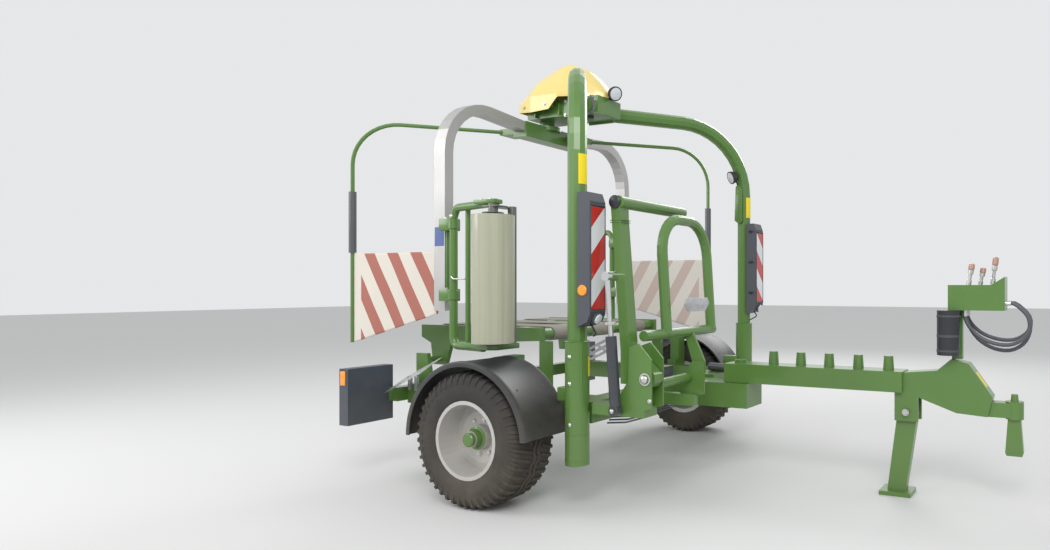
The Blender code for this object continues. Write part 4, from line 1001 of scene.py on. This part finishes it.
def flag_cloth(name, red, white, rough):
    """Coated cloth with slanting stripes; U is metres along the flag and V metres below its top."""
    made = surface(name, white, rough, drift_amount=0.06, dust_amount=0.0, bump_scale=900.0, bump_strength=0.12)
    tree = made.node_tree
    cloth_uv = tree.nodes.new("ShaderNodeUVMap")
    cloth_uv.uv_map = "cloth"
    split = tree.nodes.new("ShaderNodeSeparateXYZ")
    tree.links.new(cloth_uv.outputs[0], split.inputs[0])
    slant = math_node(tree, "DIVIDE", split.outputs["Y"], 1.66)
    along = math_node(tree, "SUBTRACT", split.outputs["X"], slant)
    phase = math_node(tree, "FRACT", math_node(tree, "DIVIDE", math_node(tree, "ADD", along, 0.779), 0.22))
    stripe = math_node(tree, "LESS_THAN", phase, 0.47)
    past_hem = math_node(tree, "GREATER_THAN", split.outputs["X"], 0.070)
    recolor(made, math_node(tree, "MULTIPLY", stripe, past_hem), red)
    return made


cloth_outside = flag_cloth("flag_cloth_outside", (0.36, 0.125, 0.095), (0.62, 0.575, 0.51), 0.75)
cloth_inside = flag_cloth("flag_cloth_inside", (0.46, 0.37, 0.33), (0.58, 0.545, 0.50), 0.8)

# %% Flag sheets
FLAG_COLUMNS, FLAG_ROWS = 72, 44


def flag_drop(u):
    """Depth of the flag at a distance from the bow."""
    if u < FLAG_CORNER:
        return FLAG_DROPS[2] + (FLAG_DROPS[1] - FLAG_DROPS[2]) * u / FLAG_CORNER
    share = (u - FLAG_CORNER) / (FLAG_FRONT - FLAG_BACK - FLAG_CORNER)
    return FLAG_DROPS[1] + (FLAG_DROPS[0] - FLAG_DROPS[1]) * share


def flag_sheet(name, turned):
    """Cloth grid with folds under 2.5 mm deep; a turned one is at the opposite side of the rotor."""
    bm = bmesh.new()
    uv = bm.loops.layers.uv.new("cloth")
    grid = []
    for i in range(FLAG_COLUMNS + 1):
        u = (FLAG_FRONT - FLAG_BACK) * i / FLAG_COLUMNS
        column = []
        for j in range(FLAG_ROWS + 1):
            v = flag_drop(u) * j / FLAG_ROWS
            fold = 0.0014 * math.sin(u * 19.0 + v * 4.0) + 0.0009 * math.sin(u * 43.0 - v * 9.0)
            spot = Vector((FLAG_BACK + u, FLAG_PLANE + fold * min(1.0, 4 * u), FLAG_TOP - v))
            if turned:
                spot = Vector((2 * ROTOR_X - spot.x, -spot.y, spot.z))
            column.append((bm.verts.new(spot), (u, v)))
        grid.append(column)
    for i in range(FLAG_COLUMNS):
        for j in range(FLAG_ROWS):
            corners = (grid[i][j], grid[i][j + 1], grid[i + 1][j + 1], grid[i + 1][j])
            face = bm.faces.new([vert for vert, place in corners])
            for loop, (vert, place) in zip(face.loops, corners):
                loop[uv].uv = place
    mesh = bpy.data.meshes.new(name)
    bm.to_mesh(mesh)
    bm.free()
    mesh.materials.append(cloth_outside)
    mesh.materials.append(cloth_inside)
    mesh.shade_smooth()
    cloth = bpy.data.objects.new(name, mesh)
    bpy.context.collection.objects.link(cloth)
    weave = cloth.modifiers.new("thickness", "SOLIDIFY")
    weave.thickness = 0.0012
    weave.offset = 0.0
    weave.material_offset = 1
    weave.material_offset_rim = 0
    bpy.context.view_layer.update()
    cloth.data = bpy.data.meshes.new_from_object(cloth.evaluated_get(bpy.context.evaluated_depsgraph_get()))
    cloth.modifiers.clear()
    return cloth


for side, turned in (("right", False), ("left", True)):
    cloth = flag_sheet("flag_sheet_" + side, turned)
    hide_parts("flag_" + side)
    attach(cloth, "rotor")

# %% [markdown]
# ## Rotor
#
# The aluminium arms carry a blank blue band, the hub plates are bolted, and each arm
# holds a film dispenser. The dispensers' frames are bent from round tube.

# %% Bands on the rotor arms
band_blue = surface("blue_band", (0.05, 0.10, 0.30), 0.35, dust_amount=0.0)


def both_sides(point, turned):
    """A point on the right arm, or its place on the left arm half a turn away."""
    x, y, z = point
    return (2 * ROTOR_X - x, -y, z) if turned else (x, y, z)


for side, turned in (("right", False), ("left", True)):
    low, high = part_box("arm_" + side)
    face = low[1] if not turned else high[1]
    bm = bmesh.new()
    spots = [both_sides((ROTOR_X - 0.040, -abs(face) - 0.0008, 1.51), turned),
             both_sides((ROTOR_X + 0.040, -abs(face) - 0.0003, 1.63), turned)]
    add_block(bm, [min(a, b) for a, b in zip(*spots)], [max(a, b) for a, b in zip(*spots)])
    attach(part("arm_band_" + side, bm, band_blue), "rotor")
print("arm face", round(face, 3))

# %% [markdown]
# ## Film dispensers
#
# Each dispenser hangs on its arm. A round tube is bent into a C that holds the film
# roll between a lower plate and an upper arm, and the stretch roller stands behind the
# roll, on the bale's side. Bending one tube is cheaper than welding posts and needs no
# corner joints. The pieces below keep to the solid's outline.

# %% Dispenser frames
POST = (-1.110, -1.050)
THIN_POST_X = -0.990
ROLL = (-0.695, -1.145)
ROLLER = (-0.700, -0.983)
FLOOR_Z, CEILING_Z = 0.913, 1.717
ROLL_TOP = 1.672
ARM_FACE_X = -1.213
dark_steel = surface("dark_roller", (0.16, 0.165, 0.15), 0.35, metallic=0.4, drift_amount=0.1)


def turn_mesh(bm, turned):
    """Turns a finished bmesh half a turn about the rotor's axis."""
    if turned:
        for vert in bm.verts:
            vert.co = Vector((2 * ROTOR_X - vert.co.x, -vert.co.y, vert.co.z))
    return bm


for side, turned in (("right", False), ("left", True)):
    bm = bmesh.new()
    upper_z = CEILING_Z + 0.028
    lower_z = FLOOR_Z - 0.026
    reach = [(ROLL[0] - 0.10, ROLL[1] + 0.028, lower_z), (POST[0] + 0.02, POST[1], lower_z),
             (POST[0], POST[1], lower_z + 0.04), (POST[0], POST[1], upper_z - 0.06),
             (POST[0] + 0.03, POST[1] - 0.005, upper_z - 0.004), (ROLL[0] + 0.02, ROLL[1] + 0.004, upper_z)]
    add_tube(bm, rounded(reach, 0.07, 7), 0.0245, 18)
    add_tube(bm, [(THIN_POST_X, POST[1], FLOOR_Z - 0.002), (THIN_POST_X, POST[1], upper_z - 0.02)], 0.0155, 14)
    add_block(bm, (ROLL[0] - 0.13, ROLL[1] - 0.025, upper_z - 0.004),
              (ROLL[0] + 0.032, ROLL[1] + 0.045, upper_z + 0.021), 0.004)
    add_plate(bm, [(POST[0] + 0.03, POST[1] + 0.022), (POST[0] + 0.03, POST[1] - 0.022),
                   (ROLL[0] - 0.02, ROLL[1] - 0.028), (ROLL[0] + 0.033, ROLL[1]),
                   (ROLLER[0] + 0.034, ROLLER[1] + 0.028), (ROLLER[0] - 0.034, ROLLER[1] + 0.028)],
              FLOOR_Z - 0.034, FLOOR_Z - 0.001, "XY", 0.004)
    for z in (1.20, 1.64):
        add_block(bm, (ARM_FACE_X, POST[1] - 0.024, z - 0.038), (POST[0] - 0.004, POST[1] + 0.058, z + 0.038), 0.004)
        add_turned(bm, [(0.026, z - 0.030), (0.032, z - 0.027), (0.032, z + 0.027), (0.026, z + 0.030)],
                   (POST[0], POST[1], 0), (POST[0], POST[1], 1), 24, closed=True)
    add_plate(bm, [(ARM_FACE_X + 0.0005, POST[1] + 0.030), (ARM_FACE_X + 0.0005, POST[1] + 0.055),
                   (ARM_FACE_X + 0.012, POST[1] + 0.055), (ARM_FACE_X + 0.012, POST[1] + 0.030)],
              1.18, 1.66, "XY", 0.002)
    for x, y in ((ROLL[0] - 0.10, ROLL[1] + 0.012), (ROLL[0] - 0.03, ROLL[1] + 0.012)):
        add_rod(bm, (x, y, upper_z + 0.018), (x, y, upper_z + 0.0215), 0.014, 16)
    frame_piece = part("dispenser_frame_" + side, turn_mesh(bm, turned), green_paint)
    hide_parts("dispenser_" + side)
    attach(frame_piece, "rotor")

    bm = bmesh.new()
    add_rod(bm, (*ROLLER, FLOOR_Z), (*ROLLER, CEILING_Z + 0.02), 0.026, 28, 0.003)
    add_rod(bm, (*ROLL, ROLL_TOP + 0.012), (*ROLL, ROLL_TOP + 0.016), 0.062, 32, 0.001)
    add_rod(bm, (*ROLL, ROLL_TOP + 0.0005), (*ROLL, upper_z - 0.004), 0.028, 28, 0.003)
    add_rod(bm, (*ROLL, FLOOR_Z + 0.0005), (*ROLL, FLOOR_Z + 0.0085), 0.083, 32, 0.002)
    add_plate(bm, [(ROLL[0] - 0.060, ROLL[1] - 0.030), (ROLL[0] + 0.060, ROLL[1] - 0.026),
                   (ROLL[0] + 0.068, ROLL[1] + 0.046), (ROLLER[0] - 0.034, ROLLER[1] + 0.028),
                   (ROLL[0] - 0.058, ROLL[1] + 0.06)],
              CEILING_Z + 0.004, CEILING_Z + 0.010, "XY", 0.001)
    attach(part("dispenser_rollers_" + side, turn_mesh(bm, turned), dark_steel), "rotor")

    bm = bmesh.new()
    for z in (1.20, 1.64):
        for y in (POST[1] - 0.010, POST[1] + 0.040):
            add_bolt(bm, (POST[0] - 0.050, y, z + 0.0378), (0, 0, 1), 0.009)
    add_bolt(bm, (POST[0] + 0.006, POST[1] - 0.0235, upper_z - 0.055), (0.2, -1, 0), 0.013, "dome")
    add_bolt(bm, (ROLL[0] - 0.10, ROLL[1] + 0.012, upper_z + 0.0213), (0, 0, 1), 0.010)
    add_bolt(bm, (ROLL[0] - 0.03, ROLL[1] + 0.012, upper_z + 0.0213), (0, 0, 1), 0.010)
    add_tube(bm, rounded([(THIN_POST_X - 0.012, POST[1] - 0.012, 1.30), (POST[0] + 0.03, POST[1] - 0.030, 1.30),
                          (POST[0] + 0.008, POST[1] - 0.026, 1.315)], 0.01), 0.005, 8)
    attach(part("dispenser_bolts_" + side, turn_mesh(bm, turned), zinc), "rotor")
print("dispenser frames done")

# %% Film roll cores
core_card = surface("core_card", (0.34, 0.24, 0.14), 0.8, dust_amount=0.0)
for side, turned in (("right", False), ("left", True)):
    low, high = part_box("film_roll_" + side)
    x, y = (low[0] + high[0]) / 2, (low[1] + high[1]) / 2
    bm = bmesh.new()
    add_turned(bm, [(0.034, high[2] + 0.0003), (0.041, high[2] + 0.0003), (0.041, high[2] + 0.006),
                    (0.034, high[2] + 0.006)], (x, y, 0), (x, y, 1), 28, closed=True)
    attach(part("roll_core_" + side, bm, core_card), "film_roll_" + side)
    print("roll centre", round(x, 3), round(y, 3))

# %% [markdown]
# ## Fenders
#
# A pressed fender is a smooth arc with a rolled bead along its rim, which stiffens it
# against shaking. The solid has few facets, so a finer arc replaces it. It is a thin
# channel of 64 steps, with domed bolts through its top.

# %% Smooth fenders
FENDER_STEPS = 64
for side, sign in (("right", -1), ("left", 1)):
    low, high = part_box("fender_" + side)
    tyre_low, tyre_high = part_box("tyre_" + side)
    x = (tyre_low[0] + tyre_high[0]) / 2
    z = (tyre_low[2] + tyre_high[2]) / 2
    radius = high[2] - z
    first = math.radians(180.0)
    last = math.radians(4.0)
    y_in = sign * min(abs(low[1]), abs(high[1]))
    y_out = sign * max(abs(low[1]), abs(high[1]))
    rim = y_out - sign * 0.001
    lip = [(radius, y_in), (radius, y_in + sign * 0.02), (radius - 0.004, y_in + sign * 0.03),
           (radius - 0.004, y_out - sign * 0.045), (radius - 0.0005, y_out - sign * 0.030),
           (radius - 0.0005, y_out - sign * 0.012), (radius - 0.004, y_out - sign * 0.003),
           (radius - 0.010, rim), (radius - 0.032, rim), (radius - 0.032, rim - sign * 0.006),
           (radius - 0.012, rim - sign * 0.006), (radius - 0.009, y_out - sign * 0.014),
           (radius - 0.012, y_out - sign * 0.050), (radius - 0.012, y_in)]
    bm = bmesh.new()
    rows = []
    for k in range(FENDER_STEPS + 1):
        a = first + (last - first) * k / FENDER_STEPS
        rows.append([bm.verts.new((x + r * math.cos(a), y, z + r * math.sin(a))) for r, y in lip])
    for before, after in zip(rows, rows[1:]):
        for k in range(len(lip)):
            j = (k + 1) % len(lip)
            bm.faces.new((before[k], before[j], after[j], after[k]))
    bm.faces.new(rows[0])
    bm.faces.new(rows[-1])
    arc = part("fender_arc_" + side, bm, black_plastic)
    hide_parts("fender_" + side)
    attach(arc, "chassis")
    bm = bmesh.new()
    for degrees in (42, 84, 96, 138):
        a = math.radians(degrees)
        out = Vector((math.cos(a), 0, math.sin(a)))
        for y in (sign * 1.110, sign * 1.310):
            if degrees in (84, 96) and abs(y) > 1.2:
                continue
            add_bolt(bm, Vector((x, y, z)) + out * (radius - 0.0095), out, 0.010, "dome")
    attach(part("fender_bolts_" + side, bm, black_plastic), "chassis")
    print(side, "fender radius", round(radius, 3), "y", round(y_in, 3), round(y_out, 3))

# %% [markdown]
# ## Rear lamps
#
# The lamp carriers are hollow mouldings that face backwards. An amber reflector sits on
# the outer side, and a red lamp and an amber lamp face the rear.

# %% Rear lamps and reflectors
for side, sign in (("right", -1), ("left", 1)):
    low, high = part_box("lamp_carrier_" + side)
    outer = sign * max(abs(low[1]), abs(high[1]))
    bm = bmesh.new()
    x = (low[0] + high[0]) / 2
    add_block(bm, (x - 0.026, min(outer, outer + sign * 0.006), 0.625),
              (x + 0.020, max(outer, outer + sign * 0.006), 0.715), 0.0025)
    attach(part("rear_side_reflector_" + side, bm, amber), "chassis")
    middle = (low[1] + high[1]) / 2
    bm = bmesh.new()
    add_turned(bm, [(0, 0.0004), (0.052, 0.0004), (0.052, 0.010), (0.045, 0.016), (0, 0.019)],
               (low[0], middle - 0.065, 0.56), (low[0] - 1, middle - 0.065, 0.56), 32)
    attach(part("rear_lamp_red_" + side, bm, red_lens), "chassis")
    bm = bmesh.new()
    add_turned(bm, [(0, 0.0004), (0.052, 0.0004), (0.052, 0.010), (0.045, 0.016), (0, 0.019)],
               (low[0], middle + 0.065, 0.56), (low[0] - 1, middle + 0.065, 0.56), 32)
    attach(part("rear_lamp_amber_" + side, bm, amber), "chassis")
    print(side, "carrier", [round(v, 3) for v in (*low, *high)])

# %% [markdown]
# ## Drawbar
#
# The hose rack at the front ends in screwed couplers with worn caps. A blank yellow
# label sits on the nose, and a bolt holds the jack's pivot.

# %% Couplers, label, bolts
for n, (x, y, top) in enumerate(((1.848, -0.045, 1.385), (1.906, 0.0, 1.361), (1.970, 0.045, 1.424)), 1):
    foot = Vector((x, y, 1.2625))
    head = Vector((x + 0.020, y, top))
    long = (head - foot).length
    bm = bmesh.new()
    add_turned(bm, [(0, 0), (0.014, 0), (0.014, long * 0.22), (0.010, long * 0.24), (0.010, long * 0.50),
                    (0.016, long * 0.52), (0.016, long * 0.70), (0.012, long * 0.72), (0, long * 0.72)],
               foot, head, 20)
    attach(part("coupler_%d" % n, bm, zinc), "drawbar")
    bm = bmesh.new()
    add_turned(bm, [(0, long * 0.722), (0.017, long * 0.722), (0.018, long * 0.80), (0.016, long * 0.97),
                    (0.010, long), (0, long)], foot, head, 20)
    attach(part("coupler_cap_%d" % n, bm, copper), "drawbar")
bm = bmesh.new()
low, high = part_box("document_canister")
x, y = (low[0] + high[0]) / 2, (low[1] + high[1]) / 2
radius = (high[0] - low[0]) / 2
for z in (0.875, 1.075):
    add_turned(bm, [(radius * 0.98, z), (radius + 0.0025, z + 0.002), (radius + 0.0025, z + 0.012),
                    (radius * 0.98, z + 0.014)], (x, y, 0), (x, y, 1), 40, closed=True)
add_turned(bm, [(radius * 0.97, 0.960), (radius + 0.0015, 0.961), (radius + 0.0015, 0.975), (radius * 0.97, 0.976)],
           (x, y, 0), (x, y, 1), 40, closed=True)
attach(part("canister_bands", bm, grey_plastic), "drawbar")

label_at = Vector((1.915, 0.0, 0.715))
down = Vector((-0.583, 0.0, 0.812))
out = Vector((0.812, 0.0, 0.583))
low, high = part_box("drawbar")
print("drawbar box", [round(v, 3) for v in (*low, *high)], "canister radius", round(radius, 3))

# %% Label and bolts on the drawbar
bm = bmesh.new()
for k in (-1, 1):
    corners = []
    for a, b in ((-0.05, -0.03), (0.05, -0.03), (0.05, 0.03), (-0.05, 0.03)):
        spot = label_at + down * a + Vector((0, b, 0)) + out * (0.0008 if k > 0 else 0.0003)
        corners.append(bm.verts.new(spot))
    bm.faces.new(corners)
lower, upper = list(bm.verts)[:4], list(bm.verts)[4:]
for i in range(4):
    j = (i + 1) % 4
    bm.faces.new((lower[i], lower[j], upper[j], upper[i]))
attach(part("nose_label", bm, sticker), "drawbar")
bm = bmesh.new()
for y in (-1, 1):
    add_bolt(bm, (1.49, y * 0.0762, 0.505), (0, y, 0), 0.017)
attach(part("jack_bolts", bm, zinc), "jack")

# %% [markdown]
# ## Lifting fork
#
# The fork picks the bale up and tips it onto the table. Big pins with domed heads hold
# it in its bracket, and thin steel pipes carry the oil to its cylinder. A folded metal
# tray sits on the hoop.

# %% Fork fittings
bm = bmesh.new()
add_turned(bm, [(0, 0.0003), (0.036, 0.0003), (0.037, 0.008), (0.030, 0.014), (0, 0.015)],
           (0.107, -1.0605, 1.72), (0.107, -2, 1.72), 28)
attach(part("fork_cap", bm, black_plastic), "fork")
bm = bmesh.new()
for z in (1.618, 1.606):
    add_block(bm, (0.0725, -1.0625, z), (0.1535, -0.9775, z + 0.004), 0.001, 1)
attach(part("fork_collar", bm, green_paint), "fork")

PIN_X, PIN_Z = 0.319, 0.755
bm = bmesh.new()
add_turned(bm, [(0.026, 0.0), (0.034, 0.001), (0.034, 0.008), (0.026, 0.009)],
           (PIN_X, -1.0855, PIN_Z), (PIN_X, -2, PIN_Z), 28, closed=True)
add_turned(bm, [(0, 0.0005), (0.021, 0.0005), (0.021, 0.008), (0.015, 0.013), (0, 0.014)],
           (PIN_X, -1.097, PIN_Z), (PIN_X, -2, PIN_Z), 28)
add_bolt(bm, (0.158, -1.1655, 0.585), (0, -1, 0), 0.013, "dome")
add_bolt(bm, (0.345, -1.0853, 0.640), (0, -1, 0), 0.010)
add_bolt(bm, (0.135, -1.0853, 0.585), (0, -1, 0), 0.009)
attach(part("bracket_pins", bm, zinc), "chassis")

bm = bmesh.new()
for n, y in enumerate((-0.90, -0.88, -0.86, -0.84)):
    z = 0.475 + 0.014 * n
    add_tube(bm, rounded([(-0.02, y - 0.06, z), (0.07, y, z), (0.07, y + 0.25, z - 0.005), (0.04, y + 0.42, z),
                          (0.04, y + 0.62, z)], 0.03, 5), 0.005, 8)
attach(part("pipe_bundle", bm, hose_rubber), "chassis")

bm = bmesh.new()
add_turned(bm, [(0.031, 0.0), (0.034, 0.002), (0.034, 0.018), (0.031, 0.020)],
           Vector((0.1580, -1.13, 0.585)) + Vector((-0.0746, 0, 0.9972)) * 0.46,
           Vector((0.1580, -1.13, 0.585)) + Vector((-0.0746, 0, 0.9972)) * 2, 28, closed=True)
barrel_low, barrel_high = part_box("lift_barrel")
print("barrel", [round(v, 3) for v in (*barrel_low, *barrel_high)])
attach(part("barrel_gland", bm, zinc), "lift_cylinder")

# %% Tray on the hoop
bow_low, bow_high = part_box("fork_bow")
tray_x = bow_high[0] + 0.001
bm = bmesh.new()
add_plate(bm, [(-0.640, 1.105), (-0.420, 1.105), (-0.370, 1.150), (-0.395, 1.185), (-0.655, 1.185), (-0.685, 1.150)],
          tray_x - 0.030, tray_x - 0.027, "YZ", 0.001)
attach(part("fork_tray_back", bm, galvanised), "fork")
print("bow box", [round(v, 3) for v in (*bow_low, *bow_high)])

# %% [markdown]
# ## Rear step
#
# Slotted galvanised plates slope up from the lamp carriers to the frame. They are
# pressed from thin sheet, and the slots drain mud.

# %% Slotted plates
START, END = Vector((-1.700, 0, 0.640)), Vector((-1.372, 0, 0.787))
PLATE_INNER = 0.90
SIDE_SLOPE = 0.5
slope = (END - START).normalized()
normal = Vector((-slope.z, 0, slope.x))


def add_strip(bm, sign, along_range, across_range, lift):
    """Adds a 4 mm strip on the sloping plate, between two places along it and two across it."""
    corners = []
    for i, j in ((0, 0), (1, 0), (1, 1), (0, 1)):
        across = across_range[j]
        spot = START + slope * along_range[i] + normal * lift
        corners.append(bm.verts.new(spot + Vector((0, sign * (PLATE_INNER + across), -SIDE_SLOPE * across))))
    face = bm.faces.new(corners)
    grown = bmesh.ops.extrude_face_region(bm, geom=[face])["geom"]
    bmesh.ops.translate(bm, verts=[item for item in grown if isinstance(item, bmesh.types.BMVert)],
                        vec=normal * 0.004)


for side, sign in (("right", -1), ("left", 1)):
    bm = bmesh.new()
    long = (END - START).length
    for across in ((0.0, 0.030), (0.068, 0.102), (0.140, 0.170)):
        add_strip(bm, sign, (0.0, long), across, 0.0)
    for along in (0.0, long * 0.30, long * 0.64, long - 0.03):
        add_strip(bm, sign, (along, along + 0.03), (0.028, 0.142), 0.0004)
    for x in (-1.660, -1.600):
        add_block(bm, (x, min(sign * 0.902, sign * 0.925), 0.560), (x + 0.02, max(sign * 0.902, sign * 0.925), 0.655), 0.001, 1)
    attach(part("slotted_plate_" + side, bm, galvanised), "chassis")
print("slotted plates done")

# %% [markdown]
# ## Floor and light
#
# A flat pale floor reaches far past the machine, so it shows no corner. Two large soft
# lamps and an even world light show the paint without hard shadows, and keep the white
# stripes below pure white.

# %% Floor, lamps, world
FLOOR_HALF = 40.0
bm = bmesh.new()
corners = [bm.verts.new((x, y, 0.0)) for x, y in ((-FLOOR_HALF, -FLOOR_HALF), (FLOOR_HALF, -FLOOR_HALF),
                                                  (FLOOR_HALF, FLOOR_HALF), (-FLOOR_HALF, FLOOR_HALF))]
bm.faces.new(corners)
floor_finish = bpy.data.materials.new("studio_floor")
floor_finish.use_nodes = True
floor_shader = floor_finish.node_tree.nodes["Principled BSDF"]
floor_shader.inputs["Base Color"].default_value = (0.60, 0.60, 0.595, 1.0)
floor_shader.inputs["Roughness"].default_value = 0.9
floor = part("studio_floor", bm, floor_finish)


def lamp(name, at, aim, size, power):
    """Square area lamp that looks at a point."""
    light = bpy.data.lights.new(name, "AREA")
    light.size = size
    light.energy = power
    holder = bpy.data.objects.new(name, light)
    holder.location = at
    holder.rotation_euler = (Vector(aim) - Vector(at)).to_track_quat("-Z", "Y").to_euler()
    bpy.context.collection.objects.link(holder)


lamp("key", (3.5, -6.5, 6.0), (-0.3, 0, 1.0), 4.0, 400)
lamp("fill", (-6.0, -4.5, 4.0), (-0.5, 0, 1.2), 4.0, 200)
lamp("back", (-1.0, 6.5, 5.5), (-0.3, 0, 1.2), 4.0, 200)

world = bpy.data.worlds.new("studio")
bpy.context.scene.world = world
world.use_nodes = True
tree = world.node_tree
background = tree.nodes["Background"]
background.inputs["Color"].default_value = (0.86, 0.87, 0.88, 1.0)
background.inputs["Strength"].default_value = 0.92
bpy.context.scene.view_settings.view_transform = "Standard"
print("lit")
